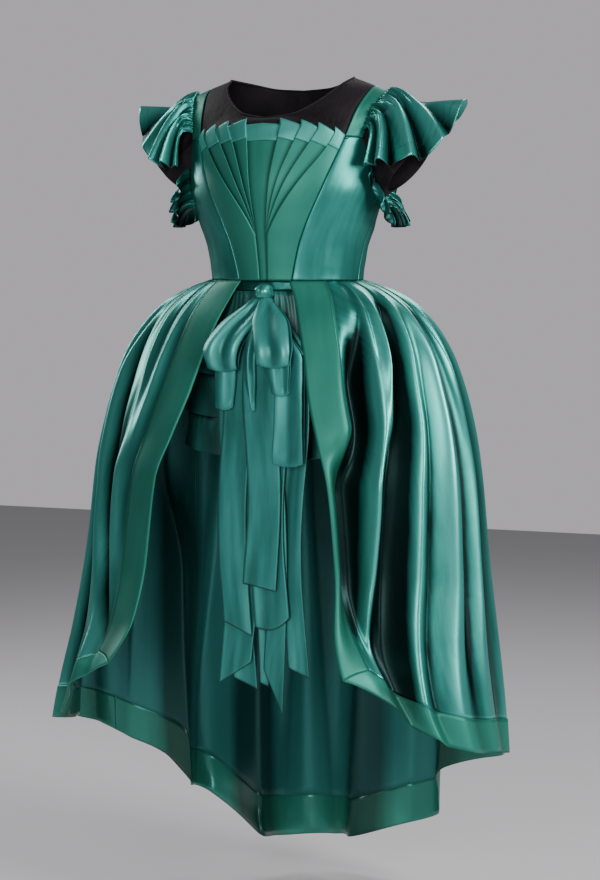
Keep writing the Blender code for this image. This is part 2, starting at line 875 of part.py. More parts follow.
Fold = namedtuple("Fold", "p width depth")
DEEP_FOLDS = (
    Fold(0.30, 0.030, -0.060),
    Fold(0.365, 0.022, 0.050),
    Fold(0.405, 0.020, -0.085),
    Fold(0.47, 0.030, 0.045),
    Fold(0.53, 0.022, -0.050),
    Fold(0.59, 0.026, 0.045),
    Fold(0.65, 0.022, -0.060),
    Fold(0.71, 0.028, 0.035),
)


def deep_fold(p, t):
    grow = smooth(0.45, 1.0, t)
    return grow * sum(f.depth * math.exp(-(((p - f.p) / f.width) ** 2)) for f in DEEP_FOLDS)


def skirt_point(s, t):
    """s runs from the right front edge round the back to the left front edge, t from the waist down."""
    ring = blend_rows(SKIRT, t)
    angle = mix(-ring.edge_angle, ring.edge_angle - 360.0, s)
    x, y = oval(angle, ring.half_width, ring.front, ring.back)
    towards_front = math.cos(math.radians(angle))
    if towards_front > 0:
        share = min(towards_front / math.cos(math.radians(ring.edge_angle)), 1.0)
        drop = mix(ring.drop_side, ring.drop_front, share**2)
    else:
        lowered = blend_rows(TRAIN, (-angle - 90.0) / 180.0).lowered
        drop = mix(ring.drop_side, ring.drop_back, lowered)
    band = band_share(t)
    p = (s - band) / (1 - 2 * band)
    calm = smooth(*BAND_CALM, p) * smooth(*BAND_CALM, 1.0 - p)
    out = pleat_depth(p, t) * calm + deep_fold(p, t)
    radius = math.hypot(x, y)
    sway = SKIRT_SWAY * t * t
    return Vector((x * (1 + out / radius) - sway, y * (1 + out / radius), -drop))


skirt_normal = normals_of(skirt_point)


def skirt_inward(s, t):
    if t < 2e-4:
        t = 2e-4
    if t > 1 - 2e-4:
        t = 1 - 2e-4
    found = skirt_normal(s, t)
    at = skirt_point(s, t)
    return -found if found.dot(Vector((at.x, at.y, 0.1))) > 0 else found


MITRE_SPREAD = 0.06
HEM_LENGTHS = ((0.0, 0.84), (0.22, 0.97), (0.46, 1.28), (0.78, 0.97), (1.0, 0.84))


def hem_share(p):
    """Where the hem band starts along the skirt's length, for a place p between the front bands."""
    for (low, from_length), (high, to_length) in zip(HEM_LENGTHS, HEM_LENGTHS[1:]):
        if p <= high:
            length = mix(from_length, to_length, smooth(low, high, p))
            return 1 - BAND_WIDTH / length
    return 1 - BAND_WIDTH / HEM_LENGTHS[-1][1]


def gore_place(p, r):
    t = r * hem_share(p)
    share = band_share(t)
    return mix(share, 1 - share, p), t


def hem_place(p, w):
    """The band's two ends are mitred: only its first and last columns slant out to the corners."""
    start = hem_share(p)
    t = mix(start, 1.0, w)
    share = band_share(t)
    near_right = 1 - smooth(0.0, MITRE_SPREAD, p)
    near_left = 1 - smooth(0.0, MITRE_SPREAD, 1 - p)
    return mix(share, 1 - share, p) + share * w * (near_left - near_right), t


def front_place(q, r):
    t = r * mix(1.0, hem_share(0.0), q)
    return q * band_share(t), t


def add_skirt_piece(name, place, columns, rows, finish, turned=False):
    def params(u, v):
        s, t = place(u, v)
        return (1 - s if turned else s), t

    add_wall(
        name,
        lambda u, v: skirt_point(*params(u, v)),
        lambda u, v: skirt_inward(*params(u, v)),
        columns,
        rows,
        SATIN_WALL,
        finish,
    )


def parted(columns, gap):
    """The columns with the two ends drawn in by a gap."""
    return [columns[0] + gap, *columns[1:-1], columns[-1] - gap]


def add_skirt():
    places = pleat_places()
    column_gap = 0.0001
    row_gap = 0.5 * SEAM / 0.9
    rows = [0.0, *SKIRT_ROWS[1:-1], 1.0 - row_gap]
    step = (len(places) - 1) // GORES
    for k in range(GORES):
        columns = parted(places[k * step : (k + 1) * step + 1], column_gap)
        add_skirt_piece(f"skirt_gore_{k + 1}", gore_place, columns, rows, "satin")
    hem_rows = (3 * row_gap, 0.5, 1.0)
    step = (len(places) - 1) // HEM_PIECES
    for k in range(HEM_PIECES):
        columns = parted(places[k * step : (k + 1) * step + 1], column_gap)
        add_skirt_piece(f"hem_band_{k + 1}", hem_place, columns, hem_rows, "matte")
    across_gap = SEAM / BAND_WIDTH
    for side_name, turned in (("right", False), ("left", True)):
        add_skirt_piece(
            f"front_band_{side_name}",
            front_place,
            (0.0, 0.5, 1.0 - across_gap),
            [*rows[:-1], 1.0 - 3 * row_gap],
            "matte",
            turned,
        )


# Bow with its loops and tails

KNOT_BACK = 0.1180
KNOT_SIZE = Vector((0.034, 0.042, 0.030))
KNOT_CENTRE = Vector((0.010, -KNOT_BACK - 0.5 * KNOT_SIZE.y, -0.3765))
KNOT_ROUND = 0.011


def add_knot():
    bm = bmesh.new()
    bmesh.ops.create_cube(bm, size=1.0)
    bmesh.ops.scale(bm, vec=KNOT_SIZE, verts=bm.verts)
    bmesh.ops.translate(bm, vec=KNOT_CENTRE, verts=bm.verts)
    mesh = bpy.data.meshes.new("bow_knot")
    bm.to_mesh(mesh)
    bm.free()
    obj = add_node("bow_knot", mesh, "satin")
    bevel = obj.modifiers.new("rounding", "BEVEL")
    bevel.width = KNOT_ROUND
    bevel.segments = 4
    bevel.limit_method = "NONE"


HANG_TOP = -KNOT_CENTRE.z + 0.5 * KNOT_SIZE.z + SEAM
SETTLED = HANG_TOP + 0.11
FIRST_LAYER = -KNOT_BACK - KNOT_ROUND - 0.001
LAYER = THIN_WALL + 0.0007
HANG_FIRST = -0.143
HANG_LAYER = 0.0050
TOP_GATHER = 0.20


def layer_y(packed, layer, drop):
    """Depth of a ribbon layer: packed close under the knot, spread out once it hangs free."""
    at_knot = FIRST_LAYER - packed * LAYER
    hanging = HANG_FIRST - layer * HANG_LAYER
    return mix(at_knot, hanging, smooth(HANG_TOP, SETTLED, drop))


Tail = namedtuple("Tail", "layer top_x end_x end_drop half_width sway cut")
TAILS = (
    Tail(0, -0.002, -0.033, 1.107, 0.024, 0.010, 0.010),
    Tail(1, -0.002, -0.040, 1.087, 0.033, -0.010, -0.022),
    Tail(2, -0.002, -0.043, 1.003, 0.029, 0.008, 0.012),
    Tail(0, 0.017, 0.008, 1.107, 0.008, 0.004, 0.004),
    Tail(1, 0.017, 0.076, 1.080, 0.021, 0.010, 0.010),
    Tail(2, 0.017, 0.036, 1.118, 0.019, -0.006, 0.042),
    Tail(3, 0.017, 0.029, 0.986, 0.034, 0.008, -0.010),
    Tail(4, 0.017, 0.013, 0.922, 0.033, -0.006, 0.006),
)

Loop = namedtuple("Loop", "packed layer top_x mid_x end_drop half_width spread")
LOOPS = (
    Loop(3.0, 3.5, -0.002, -0.062, 0.590, 0.021, 1.0),
    Loop(4.7, 6.3, -0.002, -0.060, 0.515, 0.028, 1.6),
    Loop(5.0, 5.5, 0.017, 0.070, 0.690, 0.028, 1.0),
    Loop(7.2, 8.3, 0.017, 0.060, 0.560, 0.023, 1.0),
    Loop(9.4, 11.1, 0.017, 0.051, 0.508, 0.029, 1.6),
    Loop(5.0, 5.5, 0.006, 0.000, 0.590, 0.011, 1.0),
)
LOOP_HOLLOW = 0.75


def add_tails():
    for number, tail in enumerate(TAILS, start=1):

        def point(u, v, tail=tail):
            drop = mix(HANG_TOP, tail.end_drop, v)
            settle = smooth(HANG_TOP, SETTLED, drop)
            sway = tail.sway * math.sin(2.2 * math.pi * v) * smooth(0.1, 0.4, v)
            x = mix(tail.top_x, tail.end_x, settle) + sway
            x += u * tail.half_width * mix(TOP_GATHER, 1.0, settle)
            bow = 0.0012 * math.cos(math.pi * u) * settle
            cut = tail.cut * u * smooth(0.75, 1.0, v)
            return Vector((x, layer_y(tail.layer, tail.layer, drop) - bow, -drop - cut))

        add_wall(
            f"bow_tail_{number}",
            point,
            lambda u, v: Vector((0.0, 1.0, 0.0)),
            spaced(-1.0, 1.0, 4),
            (0.0, 0.03, 0.07, 0.12, 0.18, 0.28, 0.42, 0.58, 0.75, 0.88, 1.0),
            THIN_WALL,
            "satin",
        )


def add_loops():
    for number, loop in enumerate(LOOPS, start=1):

        def point(u, v, loop=loop):
            swing = max(math.sin(math.pi * v), 0.0)
            drop = mix(HANG_TOP, loop.end_drop, swing)
            settle = smooth(HANG_TOP, SETTLED, drop)
            side = math.cos(math.pi * min(max((v - 0.36) / 0.28, 0.0), 1.0))
            packed = loop.packed + LOOP_HOLLOW * side
            layer = loop.layer + 0.5 * loop.spread * side
            x = mix(loop.top_x, loop.mid_x, settle)
            x += u * loop.half_width * mix(TOP_GATHER, 1.0, settle)
            return Vector((x, layer_y(packed, layer, drop), -drop))

        def inward(u, v, point=point):
            return normals_of(point)(0.0, min(max(v, 0.001), 0.999))

        add_wall(
            f"bow_loop_{number}",
            point,
            inward,
            spaced(-1.0, 1.0, 3),
            (0.0, 0.05, 0.11, 0.19, 0.29, 0.38, 0.44, 0.5, 0.56, 0.62, 0.71, 0.81, 0.89, 0.95, 1.0),
            THIN_WALL,
            "satin",
        )


def build():
    clear_scene()
    add_fan()
    add_fan_cuffs()
    add_bodice_sides()
    add_straps()
    add_yokes()
    add_sleeves()
    add_ruffles()
    add_waistband()
    add_shorts()
    add_skirt()
    add_knot()
    add_tails()
    add_loops()


build()
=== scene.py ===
# %% [markdown]
# # A satin ball gown costume
# The gown has a fitted bodice with a pleated fan panel, flutter ruffles on the shoulders, tiered shorts,
# an overskirt that is open at the front and long at the back, and a ribbon bow with loops and tails.
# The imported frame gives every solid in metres. Cloth is a sheet, so most pieces here are grids of points
# that follow the same named sections as the solids, with many more folds, and a thin wall on top.

# %% Load the frame
import math
from collections import namedtuple

import bmesh
import bpy
import numpy as np
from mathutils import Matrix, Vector


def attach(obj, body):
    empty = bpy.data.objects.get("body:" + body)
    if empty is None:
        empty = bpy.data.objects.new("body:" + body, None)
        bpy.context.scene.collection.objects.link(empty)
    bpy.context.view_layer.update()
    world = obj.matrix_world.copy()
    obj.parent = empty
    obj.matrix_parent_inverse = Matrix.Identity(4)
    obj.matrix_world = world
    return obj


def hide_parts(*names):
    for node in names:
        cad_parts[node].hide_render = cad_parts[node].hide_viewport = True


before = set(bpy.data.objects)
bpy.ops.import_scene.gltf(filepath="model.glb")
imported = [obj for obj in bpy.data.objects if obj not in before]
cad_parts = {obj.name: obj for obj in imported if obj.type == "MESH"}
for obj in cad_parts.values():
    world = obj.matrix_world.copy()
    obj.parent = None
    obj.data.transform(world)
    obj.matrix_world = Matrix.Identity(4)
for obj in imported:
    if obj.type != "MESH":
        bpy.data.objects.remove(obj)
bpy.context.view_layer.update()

# %% [markdown]
# ## Camera, light and floor
# The photo looks at the gown from its left front, a little from above. A long lens keeps the hem and the
# shoulders in proportion. Satin shows what it mirrors, so a few large soft lamps in dim surroundings give
# it broad highlights and deep folds; an evenly bright room would make it look like plastic.

# %% Helpers for objects that are aimed at the gown
TARGET = Vector((0.0246, 0.0, -0.661))


def add_object(name, data):
    obj = bpy.data.objects.new(name, data)
    bpy.context.scene.collection.objects.link(obj)
    return obj


def aim(obj, turn, rise, distance):
    """Stand a camera or lamp off the gown and point it there; the angles are in degrees."""
    turn, rise = math.radians(turn), math.radians(rise)
    away = Vector((math.sin(turn) * math.cos(rise), -math.cos(turn) * math.cos(rise), math.sin(rise)))
    obj.location = TARGET + away * distance
    obj.rotation_euler = away.to_track_quat("Z", "Y").to_euler()


def table(columns, *rows):
    """Rows of numbers whose columns have names."""
    kind = namedtuple("Row", columns)
    return [kind(*row) for row in rows]


# %% Camera at the photo's angle
camera = add_object("camera", bpy.data.cameras.new("camera"))
camera.data.lens = 96.9
camera.data.sensor_fit = "VERTICAL"
camera.data.sensor_height = 36.0
aim(camera, turn=22.0, rise=5.0, distance=4.5)
bpy.context.scene.camera = camera
print("camera at", [round(value, 2) for value in camera.location])

# %% Soft studio lamps
LAMPS = table(
    "name turn rise distance size_x size_y watts",
    ("key_right", 68, 26, 3.2, 0.9, 2.4, 118),
    ("front_soft", 8, 12, 3.8, 1.2, 2.0, 60),
    ("rim_left", -106, 30, 3.0, 0.4, 2.4, 52),
    ("rim_back", 172, 42, 3.4, 1.2, 1.6, 48),
)
for lamp in LAMPS:
    light = bpy.data.lights.new(lamp.name, "AREA")
    light.shape = "RECTANGLE"
    light.size, light.size_y = lamp.size_x, lamp.size_y
    light.energy = lamp.watts
    aim(add_object(lamp.name, light), lamp.turn, lamp.rise, lamp.distance)
print(len(LAMPS), "lamps,", sum(lamp.watts for lamp in LAMPS), "W together")

# %% [markdown]
# Materials, the surroundings and the geometry trees are all made of nodes. Two helpers build them: one
# makes an empty group with named sockets, the other adds a node and fills or links its inputs at once.

# %% Helpers for nodes
SOCKET_KINDS = {float: "Float", int: "Int"}


def new_tree(kind, name, inputs, outputs):
    """An empty group and its inputs. An input has its default here, or the kind of socket that it is."""
    tree = bpy.data.node_groups.new(name, f"{kind}NodeTree")
    for label, value in inputs.items():
        socket = SOCKET_KINDS.get(type(value), value)
        item = tree.interface.new_socket(label, in_out="INPUT", socket_type=f"NodeSocket{socket}")
        if socket != value:
            item.default_value = value
    for label in outputs:
        socket = "Float" if kind == "Shader" else label
        tree.interface.new_socket(label, in_out="OUTPUT", socket_type=f"NodeSocket{socket}")
    return tree, tree.nodes.new("NodeGroupInput").outputs


def add_node(tree, kind, inputs=(), **settings):
    """A node with its settings; each input, by name or number, gets a plain value or a link."""
    node = tree.nodes.new(kind)
    for key, value in settings.items():
        setattr(node, key, value)
    for key, value in dict(inputs).items():
        if isinstance(value, bpy.types.NodeSocket):
            tree.links.new(value, node.inputs[key])
        else:
            node.inputs[key].default_value = value
    return node


def link_math(tree, operation, a, b):
    return add_node(tree, "ShaderNodeMath", {0: a, 1: b}, operation=operation).outputs[0]


# %% Pale floor and surroundings
FLOOR_DROP, FLOOR_HALF, FLOOR_COLOUR = 1.60, 6, (0.50, 0.48, 0.50, 1.0)
floor_mesh = bpy.data.meshes.new("floor")
corners = [(x * FLOOR_HALF, y * FLOOR_HALF, -FLOOR_DROP) for x, y in ((-1, -1), (1, -1), (1, 1), (-1, 1))]
floor_mesh.from_pydata(corners, [], [(0, 1, 2, 3)])
pale = bpy.data.materials.new("floor")
pale.use_nodes = True
pale_inputs = pale.node_tree.nodes["Principled BSDF"].inputs
pale_inputs["Base Color"].default_value = FLOOR_COLOUR
pale_inputs["Roughness"].default_value = 0.9
pale_inputs["Emission Color"].default_value = FLOOR_COLOUR
pale_inputs["Emission Strength"].default_value = 0.20
floor_mesh.materials.append(pale)
floor = add_object("floor", floor_mesh)

world = bpy.data.worlds.new("studio")
bpy.context.scene.world = world
world.use_nodes = True
studio = world.node_tree
studio.nodes.clear()
lighting = add_node(studio, "ShaderNodeBackground", {"Color": (0.80, 0.84, 0.88, 1.0), "Strength": 0.07})
seen = add_node(studio, "ShaderNodeBackground", {"Color": (0.46, 0.44, 0.47, 1.0)})
rays = add_node(studio, "ShaderNodeLightPath")
choice = add_node(studio, "ShaderNodeMixShader", {
    "Fac": rays.outputs["Is Camera Ray"], 1: lighting.outputs[0], 2: seen.outputs[0],
})
add_node(studio, "ShaderNodeOutputWorld", {"Surface": choice.outputs[0]})
print("floor", FLOOR_DROP, "m below the shoulder line")

# %% [markdown]
# ## Reading the tables
# A dressmaker works from a few measured sections and lets the cloth run smoothly between them. Each short
# table below is read the same way: curves that pass through the rows and never swing past them. Tables of
# the same kind shape the solids, so the cloth lies close to them and adds its own folds.

# %% Smooth curves through a table's rows
def steady_slope(rise_before, rise_after):
    if rise_before * rise_after <= 0:
        return 0.0
    return 2 * rise_before * rise_after / (rise_before + rise_after)


def blend_rows(rows, position):
    """The row of a table at a position in its first column."""
    i = max(k for k in range(len(rows) - 1) if rows[k][0] <= position)
    low, high = rows[i], rows[i + 1]
    before = rows[i - 1] if i > 0 else None
    after = rows[i + 2] if i + 2 < len(rows) else None
    span = high[0] - low[0]
    f = (position - low[0]) / span
    values = []
    for c, (start, end) in enumerate(zip(low, high)):
        rise = (end - start) / span
        slope_start = slope_end = rise
        if before:
            slope_start = steady_slope((start - before[c]) / (low[0] - before[0]), rise)
        if after:
            slope_end = steady_slope(rise, (after[c] - end) / (after[0] - high[0]))
        values.append(
            (2 * f**3 - 3 * f**2 + 1) * start
            + (f**3 - 2 * f**2 + f) * slope_start * span
            + (3 * f**2 - 2 * f**3) * end
            + (f**3 - f**2) * slope_end * span
        )
    return values


def curves(columns, *rows, steps=600):
    """A function that reads every named column of a table at once, for whole arrays of places."""
    rows = table(columns, *rows)
    places = np.linspace(rows[0][0], rows[-1][0], steps)
    read = np.array([blend_rows(rows, place) for place in places])
    return lambda place: type(rows[0])(*[np.interp(place, places, column) for column in read.T])


# %% Small helpers for arrays of points
def mix(a, b, f):
    return a + (b - a) * f


def smooth(low, high, x):
    """0 below low, 1 above high and an S curve between them."""
    f = np.clip((x - low) / (high - low), 0.0, 1.0)
    return f * f * (3 - 2 * f)


def bell(x, width, power=2):
    """1 in the middle of a ridge, falling to 0 on both its sides."""
    return np.exp(-(np.abs(x / width) ** power))


def fade_ends(x, low, high):
    """1 in the middle of a strip and 0 at its two ends, x = 0 and x = 1."""
    return smooth(low, high, x) * smooth(low, high, 1 - x)


def xyz(x, y, z):
    return np.stack(np.broadcast_arrays(x, y, z), axis=-1).astype(float)


def unit(vectors):
    return vectors / np.maximum(np.linalg.norm(vectors, axis=-1, keepdims=True), 1e-12)


def grid_normals(points):
    return unit(np.cross(np.gradient(points, axis=1), np.gradient(points, axis=0)))


def normals_towards(points, axis):
    """The grid's normals, turned so that on the whole they point along an axis."""
    normal = grid_normals(points)
    return normal * (-1 if normal[..., axis].mean() < 0 else 1)


def grid(columns, rows, across=(0, 1), down=(0, 1), closed=False):
    """Two arrays with a value for each crossing; a closed grid leaves out its last column."""
    return np.meshgrid(np.linspace(*across, columns)[: -1 if closed else None], np.linspace(*down, rows))


def oval(angle, half_width, front, back):
    """Plan point of an oval section; 0 degrees is the centre front and 90 the wearer's left."""
    turn = np.radians(angle)
    depth = np.where(np.cos(turn) > 0, front, back)
    return half_width * np.sin(turn), -depth * np.cos(turn)


def mirror(points, side):
    """The wearer's left (side 1), or its mirror on the right (side -1)."""
    return points * np.array((side, 1.0, 1.0))


def from_axis(points):
    """Outward on the body: away from the upright line through its middle."""
    return points * np.array((1.0, 1.0, 0.0)) - np.array((0.0, 0.01, 0.0))


SIDES = (("left", 1), ("right", -1))
print("table reader and array helpers ready")

# %% [markdown]
# ## Uneven folds
# Cloth never ripples like a machine part. Two helpers make folds: a sum of a few fixed waves for the small
# unevenness that is everywhere, and single creases that are listed one by one.

# %% Waves and creases
def waves(u, v, seed, count=6, across=(2.0, 9.0), along=(0.3, 1.5)):
    """A soft uneven field between about -1 and 1, the same on every run."""
    rng = np.random.default_rng(seed)
    total = 0.0
    for _ in range(count):
        a, b = rng.uniform(*across), rng.uniform(*along) * rng.choice((-1, 1))
        total = total + np.sin(2 * np.pi * (a * u + b * v + rng.uniform()))
    return total / count * 1.6


CREASE = "u0 v0 u1 v1 width height"
SHARP = 1.7


def creases(u, v, rows, size):
    """Ridges or hollows along straight lines on a panel of this size, each fading out at its two ends."""
    total = np.zeros(np.broadcast(u, v).shape)
    for row in rows:
        du, dv = (row.u1 - row.u0) * size[0], (row.v1 - row.v0) * size[1]
        length = math.hypot(du, dv)
        pu, pv = (u - row.u0) * size[0], (v - row.v0) * size[1]
        along = (pu * du + pv * dv) / length**2
        off = np.abs(pu * dv - pv * du) / length
        total += row.height * bell(off, row.width, SHARP) * fade_ends(along, 0.0, 0.3)
    return total


print("waves at one place:", round(float(waves(0.3, 0.2, seed=4)), 3))

# %% [markdown]
# ## Finishes
# The gown is mostly one satin, used both ways round. On its shiny side the weave's long floats mirror the
# light; turned over, the same cloth is duller and a little greener, and the bands, straps and fan panel
# use it that way on purpose. The shorts are a darker satin and the yoke is a fine black mesh. What they
# share, the weave, the soft crumple and the painted shade and light in the folds, is built once as node
# groups.

# %% The weave: fine floats along the cloth, on its own map in metres
weave, weave_in = new_tree(
    "Shader", "cloth weave", {"Threads": 1600.0, "Float Length": 7.0}, ("Height", "Streaks")
)
cloth_map = add_node(weave, "ShaderNodeUVMap", uv_map="cloth")
place = add_node(weave, "ShaderNodeSeparateXYZ", {0: cloth_map.outputs["UV"]}).outputs
slow = link_math(weave, "DIVIDE", weave_in["Threads"], weave_in["Float Length"])
on_floats = add_node(weave, "ShaderNodeCombineXYZ", {
    "X": link_math(weave, "MULTIPLY", place["X"], weave_in["Threads"]),
    "Y": link_math(weave, "MULTIPLY", place["Y"], slow),
}).outputs[0]
floats = add_node(weave, "ShaderNodeTexNoise", {"Vector": on_floats, "Scale": 1.0, "Detail": 1.0})
broad = add_node(weave, "ShaderNodeTexNoise", {"Vector": on_floats, "Scale": 0.06, "Detail": 2.0})
add_node(weave, "NodeGroupOutput", {"Height": floats.outputs["Fac"], "Streaks": broad.outputs["Fac"]})

# %% The crumple: small uneven dents that break up a highlight
crumple, crumple_in = new_tree("Shader", "soft crumple", {"Size": 34.0}, ("Height", "Patches"))
in_space = add_node(crumple, "ShaderNodeTexCoord").outputs["Object"]
dents = add_node(crumple, "ShaderNodeTexNoise", {
    "Vector": in_space, "Scale": crumple_in["Size"], "Detail": 3.0, "Roughness": 0.55, "Distortion": 0.6,
})
patches = add_node(crumple, "ShaderNodeTexNoise", {"Vector": in_space, "Scale": 6.0, "Detail": 2.0})
add_node(crumple, "NodeGroupOutput", {"Height": dents.outputs["Fac"], "Patches": patches.outputs["Fac"]})

# %% Painted shade in the folds and painted light on their ridges, read from what each piece of cloth stores of its own form
MIDDLE = 0.5


def centred_share(tree, value, share):
    """A value between 0 and 1 as its distance from the middle, times a share."""
    return link_math(tree, "MULTIPLY", link_math(tree, "SUBTRACT", value, MIDDLE), share)


fold_shade, shade_in = new_tree("Shader", "fold shade", {"Strength": 1.0}, ("Ridge",))
stored = add_node(fold_shade, "ShaderNodeAttribute", attribute_name="fold").outputs["Fac"]
scaled = centred_share(fold_shade, stored, shade_in["Strength"])
add_node(fold_shade, "NodeGroupOutput", {"Ridge": link_math(fold_shade, "ADD", scaled, MIDDLE)})
print("node groups:", [group.name for group in (weave, crumple, fold_shade)])

# %% [markdown]
# A finish is a Principled shader with three colours: painted shade for the bottom of a fold, the open cloth
# and a painted highlight for the crest of a fold. Satin gets part of its mirror from Metallic, so that its
# highlight keeps the cloth's colour, as dyed floats do. The matte side has less of it and is rougher.

# %% Cloth finishes
FINISHES = table(
    "name hollow open crest rough metal specular sheen threads weave_bump crumple_bump",
    ("satin", (0.001, 0.014, 0.013), (0.026, 0.235, 0.200), (0.085, 0.480, 0.420),
     0.36, 0.76, 0.40, 0.00, 1500, 0.12, 0.05),
    ("satin_reverse", (0.008, 0.060, 0.057), (0.018, 0.135, 0.128), (0.036, 0.230, 0.212),
     0.46, 0.40, 0.40, 0.00, 1500, 0.10, 0.05),
    ("matte", (0.008, 0.090, 0.062), (0.018, 0.180, 0.132), (0.032, 0.260, 0.200),
     0.48, 0.40, 0.25, 0.00, 1200, 0.20, 0.04),
    ("cuff_satin", (0.024, 0.170, 0.140), (0.050, 0.320, 0.270), (0.085, 0.420, 0.370),
     0.45, 0.45, 0.30, 0.00, 1500, 0.12, 0.03),
    ("hem_inside", (0.006, 0.070, 0.048), (0.016, 0.165, 0.115), (0.034, 0.270, 0.205),
     0.34, 0.40, 0.50, 0.00, 1500, 0.10, 0.06),
    ("shorts_satin", (0.003, 0.026, 0.023), (0.018, 0.125, 0.108), (0.042, 0.260, 0.225),
     0.42, 0.25, 0.50, 0.00, 1500, 0.10, 0.06),
    # The ribbon's colours are the satin's made lighter, which paints light onto the bow; it also has less
    # Metallic.
    ("ribbon", (0.003, 0.035, 0.031), (0.036, 0.270, 0.240), (0.105, 0.510, 0.460),
     0.40, 0.50, 0.40, 0.00, 1500, 0.12, 0.05),
    ("black_mesh", (0.003, 0.002, 0.003), (0.006, 0.0045, 0.006), (0.011, 0.008, 0.011),
     0.70, 0.00, 0.20, 0.02, 900, 0.20, 0.04),
    ("seam_thread", (0.004, 0.060, 0.045), (0.012, 0.130, 0.100), (0.020, 0.200, 0.150),
     0.55, 0.00, 0.20, 0.00, 3000, 0.20, 0.00),
    ("thread", (0.020, 0.030, 0.025), (0.060, 0.080, 0.065), (0.110, 0.130, 0.105),
     0.60, 0.00, 0.30, 0.10, 3000, 0.20, 0.00),
)
HOLLOW_AT, CREST_AT, PATCHES, STREAKS, GLOSS = 0.12, 0.92, 0.25, 0.20, 0.10
WEAVE_DEPTH, CRUMPLE_DEPTH, SHEEN_ROUGHNESS = 0.0003, 0.006, 0.4


def cloth_material(finish):
    material = bpy.data.materials.new(finish.name)
    material.use_nodes = True
    tree = material.node_tree
    woven = add_node(tree, "ShaderNodeGroup", {"Threads": finish.threads}, node_tree=weave).outputs
    crumpled = add_node(tree, "ShaderNodeGroup", node_tree=crumple).outputs
    folded = add_node(tree, "ShaderNodeGroup", node_tree=fold_shade).outputs
    # The ramp paints shade into the bottoms of folds and light onto their crests, from each point's stored
    # fold height.
    tone = link_math(tree, "ADD", folded["Ridge"], centred_share(tree, crumpled["Patches"], PATCHES))
    tone = link_math(tree, "ADD", tone, centred_share(tree, woven["Streaks"], STREAKS))
    ramp = add_node(tree, "ShaderNodeValToRGB", {"Fac": tone})
    stops = ramp.color_ramp.elements
    stops[0].position, stops[0].color = HOLLOW_AT, (*finish.hollow, 1.0)
    stops[1].position, stops[1].color = CREST_AT, (*finish.crest, 1.0)
    stops.new(MIDDLE).color = (*finish.open, 1.0)
    gloss = link_math(tree, "MULTIPLY", woven["Streaks"], GLOSS)
    fine = add_node(tree, "ShaderNodeBump", {
        "Strength": finish.weave_bump, "Distance": WEAVE_DEPTH, "Height": woven["Height"],
    })
    soft = add_node(tree, "ShaderNodeBump", {
        "Strength": finish.crumple_bump, "Distance": CRUMPLE_DEPTH, "Height": crumpled["Height"],
        "Normal": fine.outputs["Normal"],
    })
    shader = tree.nodes["Principled BSDF"].inputs
    shader["Metallic"].default_value = finish.metal
    shader["Specular IOR Level"].default_value = finish.specular
    shader["Sheen Weight"].default_value = finish.sheen
    shader["Sheen Roughness"].default_value = SHEEN_ROUGHNESS
    tree.links.new(ramp.outputs["Color"], shader["Base Color"])
    tree.links.new(link_math(tree, "ADD", gloss, finish.rough - GLOSS / 2), shader["Roughness"])
    tree.links.new(soft.outputs["Normal"], shader["Normal"])
    return material


MATERIALS = {finish.name: cloth_material(finish) for finish in FINISHES}
print("finishes:", sorted(MATERIALS))

# %% [markdown]
# ## Making a piece of cloth
# Every piece is made in one way: a grid of points, a map in metres that follows the cloth, a stored value
# that says how far each point stands out of the cloth around it, from which its finish paints shade into
# hollows and light onto ridges, and a thin wall from Solidify whose inner side may have its own finish.
# The flat cut is measured on the grid itself: the longest row, the longest column and the area of all the
# faces.

# %% From a grid of points to a piece of cloth
CLOTH_WALL, THIN_WALL, MESH_WALL, BAND_WALL, SAME_POINT = 0.0011, 0.0007, 0.0006, 0.0014, 1e-6
MESH_FOLDS = 0.0018
Sheet = namedtuple("Sheet", "points faces map out width length area")


def stands_out(points):
    """How far each point stands out of the cloth on its two sides, in metres."""
    columns = points.shape[1]
    reach = max(3, columns // 12)
    padded = np.pad(points, ((0, 0), (reach, reach), (0, 0)), mode="reflect", reflect_type="odd")
    around = np.zeros_like(points)
    for shift in (-reach, -reach // 2, reach // 2, reach):
        around += padded[:, reach + shift : reach + shift + columns] / 4
    return np.sum((points - around) * grid_normals(points), axis=-1)


def sheet_data(points, outward, closed):
    """One grid as a sheet of cloth, with its faces turned outward."""
    if closed:
        points = np.concatenate([points, points[:, :1]], axis=1)
    rows, columns = points.shape[:2]
    index = np.arange(rows * columns).reshape(rows, columns)
    quads = np.stack([index[:-1, :-1], index[:-1, 1:], index[1:, 1:], index[1:, :-1]], axis=-1).reshape(-1, 4)
    flat = points.reshape(-1, 3)
    corner = flat[quads]
    normal = np.cross(corner[:, 2] - corner[:, 0], corner[:, 3] - corner[:, 1])
    facing = np.sum(normal * outward(corner.mean(axis=1)), axis=1).sum()
    across = np.linalg.norm(np.diff(points, axis=1), axis=2)
    along = np.linalg.norm(np.diff(points, axis=0), axis=2)
    u = np.concatenate([np.zeros((rows, 1)), np.cumsum(across, axis=1)], axis=1)
    v = np.concatenate([np.zeros((1, columns)), np.cumsum(along, axis=0)], axis=0)
    return Sheet(
        flat, quads if facing >= 0 else quads[:, ::-1], np.stack([u, -v], axis=-1).reshape(-1, 2),
        (stands_out(points) * (1 if facing > 0 else -1)).reshape(-1),
        float(u[:, -1].max()), float(v[-1].max()), float((np.linalg.norm(normal, axis=1) / 2).sum()),
    )


